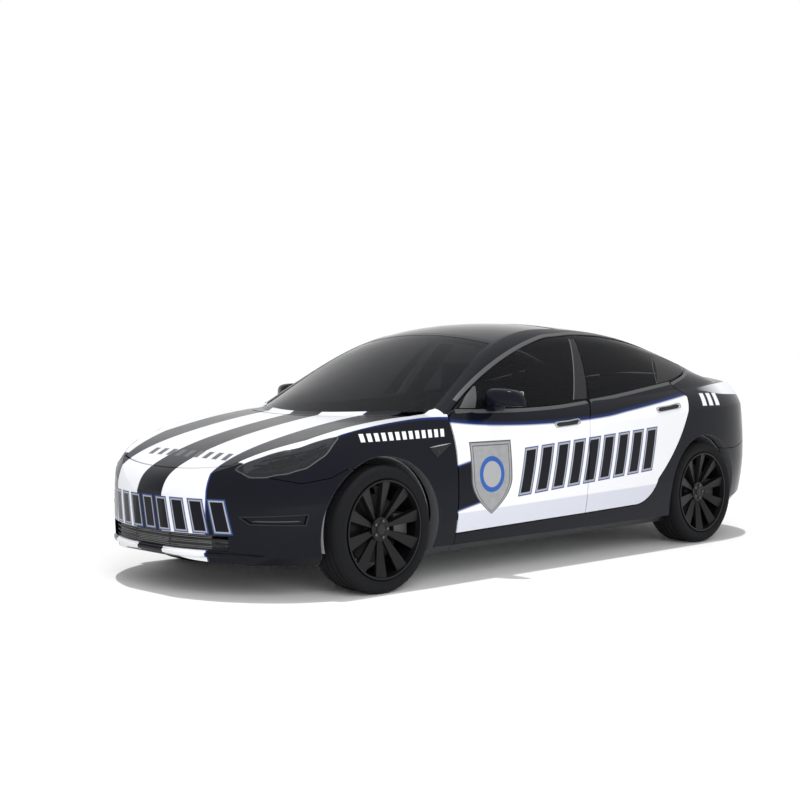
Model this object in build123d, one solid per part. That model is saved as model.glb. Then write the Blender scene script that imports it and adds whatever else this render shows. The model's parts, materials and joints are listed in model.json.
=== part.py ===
"""A four-door electric police patrol car with a fastback roof.

Millimetres. +X points forward, +Y to the car's left and +Z up. The origin lies on the ground under
the middle of the car's length and width.
"""
from build123d import *

import math
import os

# Overall sizes and the axles.
NOSE_X = 2347.0
TAIL_X = -2347.0
FRONT_AXLE_X = 1506.0
REAR_AXLE_X = -1369.0
HALF_TRACK = 790.0

# Walls and clearances.
SIDE_WALL = 60.0
SKIN_WALL = 30.0
CABIN_WALL = 35.0
FLOOR_WALL = 95.0
GLASS_SINK = 1.5
GLASS_WALL = 5.0
PANEL_GAP = 7.0
DOOR_FRONT_GAP = 9.0
LID_GAP = 12.0
SEAM_GAP = 4.0
SEAT_GAP = 0.3
PIN_GAP = 0.05

# Wheels and brakes.
TYRE_RADIUS = 334.0
TYRE_WIDTH = 235.0
TYRE_SHOULDER = 26.0
RIM_RADIUS = 258.0
RIM_WIDTH = 224.0
RIM_WALL = 9.0
SPOKES = 10
HUB_RADIUS = 62.0
HUB_FACE = 74.0
HUB_BACK = 36.0
SPINDLE_RADIUS = 32.0
DISC_RADIUS = 178.0
DISC_WALL = 26.0
CALIPER_GAP = 7.0

# Wheel arches and steering.
ARCH_RADIUS = 378.0
LINER_WALL = 6.0
FRONT_ARCH_Y = 482.0
REAR_ARCH_Y = 640.0
KINGPIN_INSET = 40.0
KINGPIN_RADIUS = 14.0

# Door hinges: the axis lies this far behind the door's front edge.
HINGE_SETBACK = 60.0
HINGE_Y = 898.0
HINGE_PIN_RADIUS = 7.0
HINGE_HEIGHTS = (375.0, 565.0)
DOOR_DRAFT = 0.15
DRAFT_TOP_Z = 980.0

# Hood and trunk lid hinges.
HOOD_AXIS = (1130.0, 886.0)
LID_AXIS = (-1872.0, 1080.0)
LID_PIN_RADIUS = 6.0

# Guide lines of the lower body, as (x, value) from nose to tail.
TOP_Z = [(2345, 540), (2325, 590), (2270, 640), (2170, 690), (2000, 752), (1700, 828), (1400, 882),
         (1190, 913), (900, 935), (-600, 1010), (-1500, 1085), (-1880, 1100), (-2200, 1095), (-2290, 1080),
         (-2320, 800), (-2345, 640)]
FENDER_Z = [(2345, 530), (2270, 620), (2100, 715), (1800, 800), (1506, 860), (1200, 895), (900, 920),
            (-150, 952), (-1000, 1000), (-1369, 1025), (-1800, 1050), (-2200, 1045), (-2290, 1030),
            (-2345, 630)]
FENDER_Y = [(2345, 780), (2000, 770), (1700, 770), (1506, 780), (1200, 810), (900, 840), (-150, 850),
            (-1000, 835), (-1369, 810), (-1900, 760), (-2345, 800)]
CREASE_Z = [(2345, 500), (2200, 600), (2000, 640), (1506, 670), (957, 700), (-150, 800), (-1369, 880),
            (-2200, 905), (-2320, 720), (-2345, 610)]
CREASE_Y = [(2345, 900), (1506, 905), (957, 905), (-150, 910), (-1369, 905), (-2345, 880)]
WAIST_Z = [(2345, 430), (2100, 400), (900, 395), (-150, 395), (-900, 420), (-1369, 470), (-2345, 580)]
WAIST_Y = [(2345, 924), (1506, 915), (900, 915), (-150, 920), (-1369, 920), (-2345, 905)]
ROCKER_Z = [(2345, 360), (2325, 240), (2100, 225), (900, 205), (-900, 205), (-1900, 290), (-2200, 340),
            (-2345, 540)]
ROCKER_Y = [(2345, 905), (1506, 885), (900, 880), (-900, 880), (-1369, 885), (-2345, 860)]
BOTTOM_Z = [(2345, 330), (2325, 215), (2270, 195), (2100, 180), (1500, 165), (-1400, 165), (-1900, 230),
            (-2200, 300), (-2320, 420), (-2345, 520)]
# Guide lines of the cabin: the roof's middle, and the rail above the side windows.
ROOF_Z = [(1500, 800), (1290, 912), (700, 1220), (330, 1375), (0, 1432), (-150, 1443), (-600, 1424),
          (-1000, 1368), (-1400, 1270), (-1880, 1112), (-2100, 1030)]
RAIL_Z = [(1500, 700), (1290, 760), (1000, 900), (900, 955), (600, 1150), (300, 1295), (0, 1372),
          (-150, 1386), (-600, 1372), (-1000, 1315), (-1400, 1210), (-1700, 1110), (-1900, 1035), (-2100, 950)]
RAIL_Y = [(1000, 825), (900, 800), (600, 725), (300, 655), (0, 605), (-150, 592), (-600, 590), (-1000, 595),
          (-1400, 600), (-1900, 600)]
# Where the lofts have their sections.
BODY_STATIONS = (NOSE_X, 2325, 2280, 2190, 2040, 1800, 1500, 1150, 700, 0, -700, -1150, -1500, -1800, -2040,
                 -2190, -2275, -2325, TAIL_X)
CABIN_STATIONS = (1380, 1150, 900, 600, 300, 0, -300, -700, -1100, -1500, -1850, -2100)
CABIN_BASE_Z = 700.0
CABIN_TUCK = 5.0

# Stretches of the side seams, as (x, z, kind); a "via" point is the middle of an arc.
DOOR_FRONT_EDGE = [(980, 268, "end"), (980, 896, "end")]
BELT_FRONT = [(930, 930, "end"), (353, 924, "via"), (-232, 958, "end")]
BELT_REAR = [(-232, 958, "end"), (-743, 1011, "via"), (-1130, 1056, "end")]
B_SEAM = [(-172, 850, "end"), (-138, 600, "via"), (-124, 292, "end")]
SILL = [(420, 281, "via")]
DOOR_REAR_EDGE = [(-1235, 965, "end"), (-1105, 735, "via"), (-845, 455, "end"), (-760, 350, "via"),
                  (-600, 304, "end")]
WINDOW_TOP_FRONT = [(428, 1192, "via"), (-95, 1340, "end"), (-395, 1362, "end")]
WINDOW_TOP_REAR = [(-654, 1354, "end"), (-1130, 1285, "via"), (-1545, 1160, "end")]
WINDOW_TAIL = [(-1346, 1105, "end")]
# Side outlines of the bumpers, as (x, z).
FRONT_BUMPER = [(1592, 100), (1592, 655), (1746, 655), (1832, 616), (1972, 592), (2073, 616),
                (2150, 640), (2150, 720), (2400, 720), (2400, 100)]
REAR_BUMPER = [(-1592, 100), (-1592, 610), (-1740, 610), (-2050, 655), (-2150, 694), (-2400, 694),
               (-2400, 100)]
# Plan outlines, left half, as (x, y, kind).
HOOD = [(2257, 0, "via"), (2181, 486, "end"), (1814, 633, "end"), (1500, 652, "via"), (1150, 715, "end"),
        (1335, 0, "via")]
WINDSCREEN = [(1278, 0, "via"), (985, 735, "end"), (345, 560, "end"), (372, 0, "via")]
ROOF_GLASS = [(332, 0, "via"), (306, 550, "end"), (0, 522, "via"), (-325, 512, "end"), (-335, 0, "via")]
REAR_GLASS = [(-372, 0, "via"), (-362, 510, "end"), (-1100, 512, "via"), (-1832, 530, "end"),
              (-1850, 0, "via")]
TRUNK_LID = [(-1884, 0, "via"), (-1866, 545, "end"), (-2420, 545, "end"), (-2421, 0, "via")]
HEADLAMP = [(2178, 520), (2083, 596), (1909, 700), (1690, 758), (1813, 798), (1931, 788), (2025, 741),
            (2111, 668), (2161, 603), (2190, 512)]
# Lower edge of the headlamps in side view, as (x, z).
HEADLAMP_FOOT = [(1660, 830), (1690, 795), (1813, 730), (1948, 656), (2073, 624), (2220, 614)]
LID_BOTTOM_Z = 690.0
# Boxes of the tail lamps and the grille, as (x0, x1, y0, y1, z0, z1).
TAIL_LAMP = (-2400, -2050, 549, 1010, 842, 942)
LID_LAMP = (-2400, -2120, 300, 541, 852, 934)
GRILLE = (2120, 2400, -520, 520, 252, 334)
# Side outline of the slot in each front corner, as (x, z), and its depth.
CORNER_SLOT = [(2192, 424), (1948, 436), (1958, 390), (2162, 395)]
CORNER_SLOT_Y = 450.0
CORNER_SLOT_DEPTH = 9.0

# Cutters: how far out they reach, and where doors and windows start inboard.
FAR_Y = 1010.0
DOOR_INNER_Y = 775.0
WINDOW_INNER_Y = 450.0
GLASS_CUT_Z = (880.0, 1600.0)
HOOD_CUT_Z = (480.0, 1100.0)
LAMP_CUT_Z = (560.0, 900.0)
LID_CUT_TOP_Z = 1300.0
HOOD_DEPTH = 40.0

# Splits between the fixed panels.
FENDER_X = 981.0
SIDE_X = 977.0
FENDER_PLAN = [(FENDER_X, 716), (1160, 716), (1235, 660), (1500, 560), (2300, 400), (2300, FAR_Y),
               (FENDER_X, FAR_Y)]
FENDER_TOP_Z = 1100.0
PANEL_LOW_Z = 150.0
ROOF_TOP_Z = 1500.0
ROOF_SPLIT_Y = 508.0
ROOF_BAR_X = 400.0
ROOF_BAR_LOW_Z = 1200.0

# Grille.
GRILLE_SINK = 18.0
GRILLE_DEPTH = 25.0
GRILLE_SLATS = 4
SLAT_HEIGHT = 8.0
GRILLE_POST = 12.0
GRILLE_POSTS_Y = (-160.0, 148.0)

# Floor, firewall, trunk floor and battery. Boxes are (x0, x1, y0, y1, z0, z1).
FLOOR_Y = 788.0
FLOOR_TOP_Z = 300.0
FLOOR_END_X = 1588.0
FLOOR_Z = 259.0
FLOOR_WELL_Y = 762.0
BATTERY = (-1000.0, 930.0, -690.0, 690.0, 168.0, 248.0)
FIREWALL_X = (1015.0, 1040.0)
FIREWALL_Y = 690.0
FIREWALL_TOP_Z = 838.0
RISER_X = (-1160.0, -1135.0)
TRUNK_FLOOR_Z = (500.0, 520.0)
TRUNK_FLOOR_PLAN = [(RISER_X[1], 600.0), (-2000.0, 600.0), (-2170.0, 420.0)]
# Jacking pads under the sills, as (x, y) of the left ones.
JACK_PADS = [(890.0, 725.0), (-800.0, 725.0)]
JACK_PAD_SIZE = 60.0
JACK_PAD_Z = (156.0, 200.0)

# Wheel arch liners.
LINER_OUTER_Y = 840.0
LINER_LOW_Z = 240.0
LINER_FLANGE = 40.0

# Suspension, hub carriers and drive.
SUSPENSION_X = 36.0
ARM_NECK = 20.0
ARM_Z = (180.0, 226.0)
UPPER_ARM_Z = (502.0, 540.0)
UPPER_ARM_X = 20.0
TOWER_Y = (436.0, 474.0)
ARM_END_RADIUS = KINGPIN_RADIUS + 8.0
KINGPIN_REACH = 58.0
CARRIER_RADIUS = 60.0
CARRIER_Y = (-96.0, -22.0)
DISC_Y = (-12.0, -12.0 + DISC_WALL)
CALIPER_HALF = 68.0
CALIPER_REACH = (40.0, 55.0)
CALIPER_Y = CARRIER_Y[0] + 44.0
CALIPER_WALL = 20.0
LUG_GAP = 6.0
KINGPIN_LUG = KINGPIN_RADIUS + 10.0
BORE_ROOM = 4.0
DRIVE_UNIT = (-1560.0, -1190.0, -320.0, 320.0)
REAR_BEAM_Z = (190.0, 240.0)
REAR_BEAM_X = 50.0
REAR_POST = 40.0
SHAFT_RADIUS = 20.0

# Tyre section as (radius inside the tread, y inside the sidewall), from bead to tread.
BEAD_RISE = 22.0
TYRE_SECTION = [(2 * TYRE_SHOULDER - 12, 0.0), (TYRE_SHOULDER * 0.55, 6.0),
                (TYRE_SHOULDER * 0.2, TYRE_SHOULDER * 0.75), (0.0, TYRE_SHOULDER * 1.6)]
# Spoke sections as (radius, leading half width, trailing half width, y of the ridge, y of the back).
# The outer one's corners stay inside the rim's wall.
SPOKE_INNER = (HUB_RADIUS - 12.0, 13.0, 13.0, HUB_FACE - 2.0, HUB_FACE - 26.0)
SPOKE_OUTER = (RIM_RADIUS - RIM_WALL + 1.5, 22.0, 52.0, RIM_WIDTH / 2 - 6.0, RIM_WIDTH / 2 - 34.0)
SPOKE_EDGE = 12.0

# Door hinges: half width of an arm, its pocket as (back, out, down, up), and the pins.
ARM_HALF = 9.0
POCKET = (22.0, 11.0, 36.0, 3.0)
POCKET_ROOM = 40.0
HINGE_ARM_DROP = 30.0
PIN_LENGTH = 30.0
# The post ahead of each front door, as (x0, x1, y0, y1, top z).
POST = (884.0, 972.0, 696.0, 758.0, 812.0)
# B-pillar sections as (z, x of the middle, outer y), and their size.
B_PILLAR = [(FLOOR_Z + SEAT_GAP, -205.0, 758.0), (430.0, -205.0, 812.0), (930.0, -270.0, 782.0),
            (1318.0, -402.0, 545.0)]
PILLAR_SIZE = (96.0, 56.0)
PILLAR_ARM_Y = 770.0

# Mirrors: plan outline, heights and edge rounding, and the foot on the door.
MIRROR_PLAN = [(592, 862), (586, 1070), (640, 1070), (716, 950), (712, 862)]
MIRROR_Z = (949.0, 1055.0)
MIRROR_FILLET = 24.0
MIRROR_FOOT = (606.0, 696.0, 800.0, 930.0, 918.0, 985.0)
MIRROR_INNER = (500.0, 800.0, 700.0, 846.0, 860.0, 1100.0)

# Hood and trunk lid hinges: lugs on the lids, brackets on what carries them.
LUG_RADIUS = 11.0
LUG_REACH = 40.0
LUG_STEP = 4.0
HOOD_LUG_Y = (652.0, 676.0)
HOOD_BRACKET_Y = (680.0, 694.0)
HOOD_LUG_REACH = 95.0
COWL = (990.0, 1333.0, -600.0, 600.0, 800.0, 1000.0)
COWL_TRAY = (FIREWALL_X[0], 1160.0, 540.0, 700.0, FIREWALL_TOP_Z + SEAT_GAP, FIREWALL_TOP_Z + 14.0)
COWL_RISER = (1112.0, 1160.0, 560.0, 598.0, FIREWALL_TOP_Z + SEAT_GAP, 884.0)
LID_LUG_Y = (240.0, 262.0)
LID_BRACKET_Y = (266.0, 280.0)
LID_LUG_REACH = 60.0
LID_BRACKET_HALF = 9.0
SHELF_Y = 505.0
SHELF_Z = (985.0, 1003.0)

# Cabin, in side view as (x, z).
SEAT_BACK_X = -1125.0
DASH_BACK_X = FIREWALL_X[0] - SEAT_GAP
DASH = [(DASH_BACK_X, 640), (DASH_BACK_X, 868), (940, 890), (810, 872), (768, 800), (800, 755), (900, 640)]
DASH_Y = 680.0
DRIVER_Y = 370.0
COLUMN_PLACE = (620.0, DRIVER_Y, 800.0)
COLUMN_TILT = 24.0
COLUMN_RADIUS = 14.0
COLUMN_LENGTH = 300.0
STEERING_RADIUS = 180.0
STEERING_GRIP = 15.0
STEERING_HUB = (48.0, 36.0)
STEERING_SPOKE = (34.0, 14.0)
CONSOLE = (-140.0, 690.0, -105.0, 105.0, FLOOR_Z + SEAT_GAP, 470.0)
SEAT_FOOT_Z = FLOOR_Z + SEAT_GAP
FRONT_SEAT = [(430, 330), (452, 440), (400, 474), (-60, 452), (-290, 1000), (-385, 1000), (-200, 400),
              (-150, 330), (-60, 330), (-60, SEAT_FOOT_Z), (350, SEAT_FOOT_Z), (350, 330)]
FRONT_SEAT_HALF = 240.0
HEADREST = [(-290, 990), (-305, 1180), (-390, 1185), (-385, 990)]
HEADREST_HALF = 130.0
REAR_SEAT = [(-430, SEAT_FOOT_Z), (-410, 420), (-450, 452), (-840, 420), (-1020, 990), (-1040, 1120),
             (SEAT_BACK_X, 1120), (SEAT_BACK_X, 900), (-1030, 420), (-1030, SEAT_FOOT_Z)]
REAR_SEAT_Y = 610.0
FRONT_TRUNK = (1120.0, 1900.0, -425.0, 425.0, 430.0, 700.0)
FRONT_TRUNK_WALL = 12.0
FRONT_TRUNK_LEDGE = 20.0


def along(keys, x):
    """Smooth value at x through (x, value) keys that run from front to rear."""
    keys = sorted(keys)
    if x <= keys[0][0]:
        return keys[0][1]
    if x >= keys[-1][0]:
        return keys[-1][1]
    steps = [(b[1] - a[1]) / (b[0] - a[0]) for a, b in zip(keys, keys[1:])]
    inner = [0.0 if p * q <= 0 else 2 * p * q / (p + q) for p, q in zip(steps, steps[1:])]
    slopes = [steps[0]] + inner + [steps[-1]]
    for i, ((x0, v0), (x1, v1)) in enumerate(zip(keys, keys[1:])):
        if x <= x1:
            break
    span = x1 - x0
    t = (x - x0) / span
    return (v0 * (1 + 2 * t) * (1 - t) ** 2 + span * slopes[i] * t * (1 - t) ** 2
            + v1 * t * t * (3 - 2 * t) + span * slopes[i + 1] * t * t * (t - 1))


def plan_taper(x):
    """Share of the full width that is left at x, as nose and tail round off in plan."""
    start = 1300.0
    end_room = 6.0
    if x > start:
        return (1 - ((x - start) / (NOSE_X + end_room - start)) ** 3.0) ** 0.5
    if x < -start:
        return (1 - ((x + start) / (TAIL_X - end_room + start)) ** 3.4) ** 0.45
    return 1.0


def bulged(p, q, bulge):
    """Middle point of an arc from p to q that swells outward by bulge; points are (y, z), upward."""
    dy = q[0] - p[0]
    dz = q[1] - p[1]
    length = math.hypot(dy, dz)
    return ((p[0] + q[0]) / 2 + dz / length * bulge, (p[1] + q[1]) / 2 - dy / length * bulge)


def section_wire(x, low_y, side, top_z):
    """Closed section at x: a flat bottom, side points joined by lines or arcs, and an arched top.

    side holds (y, z, bulge) from the bottom up; a bulge of None draws a line to the next point.
    """
    def left(y, z):
        return (x, y, z)

    def right(y, z):
        return (x, -y, z)

    rising = []
    falling = []
    for (y0, z0, bulge), (y1, z1, _) in zip(side, side[1:]):
        if bulge is None:
            rising.append(Line(left(y0, z0), left(y1, z1)))
            falling.append(Line(right(y1, z1), right(y0, z0)))
        else:
            middle = bulged((y0, z0), (y1, z1), bulge)
            rising.append(ThreePointArc(left(y0, z0), left(*middle), left(y1, z1)))
            falling.append(ThreePointArc(right(y1, z1), right(*middle), right(y0, z0)))
    first = side[0]
    last = side[-1]
    bottom = Line(right(low_y, first[1]), left(low_y, first[1]))
    top = ThreePointArc(left(last[0], last[1]), (x, 0, top_z), right(last[0], last[1]))
    return Wire([bottom] + rising + [top] + falling[::-1])


def body_section(x, inset=0.0, drop=0.0, rise=0.0):
    """Lower body section at guide place x, drawn in by inset at sides and ends."""
    taper = plan_taper(x)
    narrow = taper * (1 - inset / max(y for _, y in WAIST_Y))
    bottom_z = along(BOTTOM_Z, x) + rise
    tuck = 0.93
    side = [(along(ROCKER_Y, x) * narrow * tuck, bottom_z, None),
            (along(ROCKER_Y, x) * narrow, along(ROCKER_Z, x) + rise, 6.0 * taper),
            (along(WAIST_Y, x) * narrow, along(WAIST_Z, x), 8.0 * taper),
            (along(CREASE_Y, x) * narrow, along(CREASE_Z, x) - drop / 2, 10.0 * taper),
            (along(FENDER_Y, x) * narrow, along(FENDER_Z, x) - drop, None)]
    crown = 4.0
    top_z = max(along(TOP_Z, x) - drop, side[-1][1] + crown)
    return section_wire(x * (1 - inset / NOSE_X), side[0][0], side, top_z)


def cabin_section(x, inset=0.0):
    """Cabin section at x, drawn in by inset; its foot lies hidden in the lower body."""
    rail_y = along(RAIL_Y, x) - inset
    rail_z = along(RAIL_Z, x) - inset
    roof_z = along(ROOF_Z, x) - inset
    belt_y = along(FENDER_Y, x) * plan_taper(x) - CABIN_TUCK - inset
    belt_z = min(along(FENDER_Z, x), rail_z - CABIN_WALL)
    blend = 0.18
    low = (rail_y + (belt_y - rail_y) * blend, rail_z - (rail_z - belt_z) * blend)
    high = (rail_y * (1 - blend * 2 / 3), rail_z + (roof_z - rail_z) * 0.22)
    foot_z = min(CABIN_BASE_Z, belt_z - CABIN_WALL)
    side = [(belt_y, foot_z, None), (belt_y, belt_z, 12.0), (low[0], low[1], 9.0), (high[0], high[1], None)]
    return section_wire(x, belt_y, side, roof_z)


def skin_y(x, z):
    """Rough half width of the lower body's skin at (x, z)."""
    taper = plan_taper(x)
    heights = (BOTTOM_Z, ROCKER_Z, WAIST_Z, CREASE_Z, FENDER_Z)
    widths = (ROCKER_Y, ROCKER_Y, WAIST_Y, CREASE_Y, FENDER_Y)
    keys = [(along(h, x), along(w, x) * taper) for h, w in zip(heights, widths)]
    for (z0, y0), (z1, y1) in zip(keys, keys[1:]):
        if z <= z1:
            return y0 + (y1 - y0) * (z - z0) / (z1 - z0)
    return keys[-1][1]


def shrunk(points, gap):
    """Outline drawn in by gap (out if negative), each point moved along its corner's bisector."""
    flat = [p[:2] for p in points]
    area = sum(a[0] * b[1] - b[0] * a[1] for a, b in zip(flat, flat[1:] + flat[:1]))
    turn = 1 if area > 0 else -1
    moved = []
    for i, (px, pz) in enumerate(flat):
        before = flat[i - 1]
        after = flat[(i + 1) % len(flat)]
        d0 = math.hypot(px - before[0], pz - before[1])
        d1 = math.hypot(after[0] - px, after[1] - pz)
        n0 = (-(pz - before[1]) / d0 * turn, (px - before[0]) / d0 * turn)
        n1 = (-(after[1] - pz) / d1 * turn, (after[0] - px) / d1 * turn)
        spread = max(0.3, 1 + n0[0] * n1[0] + n0[1] * n1[1])
        moved.append((px + (n0[0] + n1[0]) / spread * gap, pz + (n0[1] + n1[1]) / spread * gap)
                     + tuple(points[i][2:]))
    return moved


def outline_wire(points, place):
    """Closed wire through outline points; place turns a point into three coordinates."""
    start = next(i for i, p in enumerate(points) if p[2] == "end")
    ring = points[start:] + points[:start] + [points[start]]
    edges = []
    i = 0
    while i < len(ring) - 1:
        if ring[i + 1][2] == "via":
            edges.append(ThreePointArc(place(ring[i]), place(ring[i + 1]), place(ring[i + 2])))
            i += 2
        else:
            edges.append(Line(place(ring[i]), place(ring[i + 1])))
            i += 1
    return Wire(edges)


def side_prism(points, y0, y1, draft=0.0):
    """Prism across Y from a side outline; door edges behind the front door's middle lean forward inboard."""
    def placer(y):
        def place(p):
            if draft and p[0] < 0 and p[1] < DRAFT_TOP_Z:
                return (p[0] + draft * (skin_y(p[0], p[1]) - y), y, p[1])
            return (p[0], y, p[1])
        return place

    return Solid.make_loft([outline_wire(points, placer(y)) for y in (y0, y1)], ruled=True)


def plan_prism(points, z0, z1):
    """Upright prism from a plan outline."""
    wires = [outline_wire(points, lambda p, z=z: (p[0], p[1], z)) for z in (z0, z1)]
    return Solid.make_loft(wires, ruled=True)


def both_halves(points):
    """Whole plan outline from the left half of a symmetric one."""
    kept = [p for p in points if p[1] > 0]
    first = [p for p in points[:1] if p[1] == 0]
    last = [p for p in points[1:] if p[1] == 0]
    return first + kept + last + [(p[0], -p[1], p[2]) for p in kept[::-1]]


def plain(points):
    """Outline of corners alone."""
    return [(a, b, "end") for a, b in points]


def block(x0, x1, y0, y1, z0, z1):
    """Box between two corners."""
    return Pos((x0 + x1) / 2, (y0 + y1) / 2, (z0 + z1) / 2) * Box(x1 - x0, y1 - y0, z1 - z0)


def rod(axis, a, b, radius, u, v):
    """Cylinder along an axis letter from a to b; u and v are the other two coordinates in order."""
    length = b - a
    middle = (a + b) / 2
    if axis == "X":
        return Pos(middle, u, v) * Rot(0, 90, 0) * Cylinder(radius, length)
    if axis == "Y":
        return Pos(u, middle, v) * Rot(90, 0, 0) * Cylinder(radius, length)
    return Pos(u, v, middle) * Cylinder(radius, length)


def mirrored(shape):
    """The same shape on the car's right."""
    return mirror(shape, about=Plane.XZ)


def turned(profile, place):
    """Solid of revolution about the wheel's axle; profile holds (radius, y) corners."""
    face = make_face(Polyline(*[(r, y) for r, y in profile], close=True))
    return place * revolve(face, Axis.Y)


def lifted(points, rise):
    """Outline points moved up by rise."""
    return [(x, z + rise, kind) for x, z, kind in points]


def shifted(points, advance):
    """Outline points moved forward by advance."""
    return [(x + advance, z, kind) for x, z, kind in points]


def arc_height(points, x):
    """Height at x of the arc through three (x, z, kind) points."""
    (xa, za, _), (xb, zb, _), (xc, zc, _) = points
    turn = 2 * (xa * (zb - zc) + xb * (zc - za) + xc * (za - zb))
    squares = [px * px + pz * pz for px, pz, _ in points]
    middle_x = (squares[0] * (zb - zc) + squares[1] * (zc - za) + squares[2] * (za - zb)) / turn
    middle_z = (squares[0] * (xc - xb) + squares[1] * (xa - xc) + squares[2] * (xb - xa)) / turn
    reach = math.sqrt((xa - middle_x) ** 2 + (za - middle_z) ** 2 - (x - middle_x) ** 2)
    return middle_z + reach if za > middle_z else middle_z - reach


def on_belt(points, places, belt, rise):
    """Outline with the points at some places set on the belt's arc, moved up by rise."""
    moved = list(points)
    for i in places:
        x, _, kind = points[i]
        moved[i] = (x, arc_height(belt, x) + rise, kind)
    return moved


def headlamp_prism(gap):
    """Space of the left headlamp, drawn in by gap."""
    low_z, top_z = LAMP_CUT_Z
    side_view = plain(HEADLAMP_FOOT + [(HEADLAMP_FOOT[-1][0], top_z), (HEADLAMP_FOOT[0][0], top_z)])
    plan = plan_prism(shrunk(plain(HEADLAMP), gap), low_z, top_z)
    return plan & side_prism(shrunk(side_view, gap), 0.0, FAR_Y)


def extruded(outline, y0, y1):
    """Prism across Y from (x, z) corners."""
    return side_prism(plain(outline), y0, y1)


def hub_carrier():
    """Hub carrier, spindle and calliper about the wheel's centre."""
    carrier = rod("Y", *CARRIER_Y, CARRIER_RADIUS, 0.0, 0.0)
    carrier = carrier + rod("Y", CARRIER_Y[1] - 10.0, HUB_FACE - 16.0, SPINDLE_RADIUS - PIN_GAP, 0.0, 0.0)
    outer, inner = CALIPER_REACH
    calliper_end = DISC_Y[1] + CALIPER_GAP + CALIPER_WALL
    calliper_x = (-DISC_RADIUS - outer, -DISC_RADIUS + inner)
    calliper = block(*calliper_x, CALIPER_Y, calliper_end, -CALIPER_HALF, CALIPER_HALF)
    slot = rod("Y", DISC_Y[0] - CALIPER_GAP, DISC_Y[1] + CALIPER_GAP, DISC_RADIUS + CALIPER_GAP, 0.0, 0.0)
    arm = block(-DISC_RADIUS + 20.0, -20.0, CALIPER_Y, CARRIER_Y[1], -26.0, 26.0)
    return carrier + (calliper - slot) + arm


parts = {}


def pair(name, left):
    """Stores a left piece and its mirror image."""
    parts[f"{name}_left"] = left
    parts[f"{name}_right"] = mirrored(left)


def both_sides(left):
    """A left piece and its mirror image as one node."""
    return Compound([left.solid(), mirrored(left.solid())])


# The outer form, its hollow and the glass layer.
body_form = Solid.make_loft([body_section(x) for x in BODY_STATIONS])
cabin_form = Solid.make_loft([cabin_section(x) for x in CABIN_STATIONS])
hollow_sections = [body_section(x, SIDE_WALL, SKIN_WALL, FLOOR_WALL) for x in BODY_STATIONS[1:-1]]
body_hollow = Solid.make_loft(hollow_sections)
cabin_hollow = Solid.make_loft([cabin_section(x, CABIN_WALL) for x in CABIN_STATIONS])
glass_outer = Solid.make_loft([cabin_section(x, GLASS_SINK) for x in CABIN_STATIONS])
glass_inner = Solid.make_loft([cabin_section(x, GLASS_SINK + GLASS_WALL) for x in CABIN_STATIONS])
shell = (body_form + cabin_form) - (body_hollow + cabin_hollow)
glass_layer = glass_outer - glass_inner

# Outlines of the openings, the doors and their panes.
windscreen_plan = both_halves(WINDSCREEN)
roof_plan = both_halves(ROOF_GLASS)
rear_plan = both_halves(REAR_GLASS)
hood_plan = both_halves(HOOD)
lid_plan = both_halves(TRUNK_LID)
half_gap = PANEL_GAP / 2
hinge_gap = PANEL_GAP - DOOR_FRONT_GAP
side_opening = (DOOR_FRONT_EDGE + BELT_FRONT[:1] + WINDOW_TOP_FRONT + WINDOW_TOP_REAR + WINDOW_TAIL
                + BELT_REAR[-1:] + DOOR_REAR_EDGE + B_SEAM[-1:] + SILL)
front_door = shrunk(shifted(DOOR_FRONT_EDGE, hinge_gap) + BELT_FRONT + B_SEAM + SILL, half_gap)
front_door = on_belt(front_door, (2, 3, 4), BELT_FRONT, -SEAT_GAP)
rear_door_front = shifted(B_SEAM[::-1] + BELT_REAR[:1], hinge_gap)
rear_door = shrunk(rear_door_front + BELT_REAR[1:] + DOOR_REAR_EDGE, half_gap)
rear_door = on_belt(rear_door, (3, 4, 5), BELT_REAR, -SEAT_GAP)
front_window = shrunk(BELT_FRONT[:1] + WINDOW_TOP_FRONT + BELT_FRONT[:0:-1], half_gap)
front_window = on_belt(front_window, (0, -2, -1), BELT_FRONT, SEAT_GAP)
rear_window = shrunk(WINDOW_TOP_FRONT[-1:] + WINDOW_TOP_REAR + WINDOW_TAIL + BELT_REAR[::-1], half_gap)
rear_window = on_belt(rear_window, (-3, -2, -1), BELT_REAR, SEAT_GAP)

# What is cut from the shell.
side_cut = side_prism(shrunk(side_opening, -half_gap), WINDOW_INNER_Y, FAR_Y, DOOR_DRAFT)
hood_cut = plan_prism(hood_plan, *HOOD_CUT_Z) - Pos(0, 0, -HOOD_DEPTH - PANEL_GAP) * body_form
lid_cut = plan_prism(lid_plan, LID_BOTTOM_Z, LID_CUT_TOP_Z)
cuts = [plan_prism(plan, *GLASS_CUT_Z) for plan in (windscreen_plan, roof_plan, rear_plan)]
cuts += [hood_cut, lid_cut, block(*GRILLE)]
for axle_x, arch_y in ((FRONT_AXLE_X, FRONT_ARCH_Y), (REAR_AXLE_X, REAR_ARCH_Y)):
    left_arch = rod("Y", arch_y, FAR_Y, ARCH_RADIUS, axle_x, TYRE_RADIUS)
    cuts += [left_arch, mirrored(left_arch)]
for cut in (side_cut, headlamp_prism(0.0), block(*TAIL_LAMP)):
    cuts += [cut, mirrored(cut)]
rest = shell
for cut in cuts:
    rest = rest - cut

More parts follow.
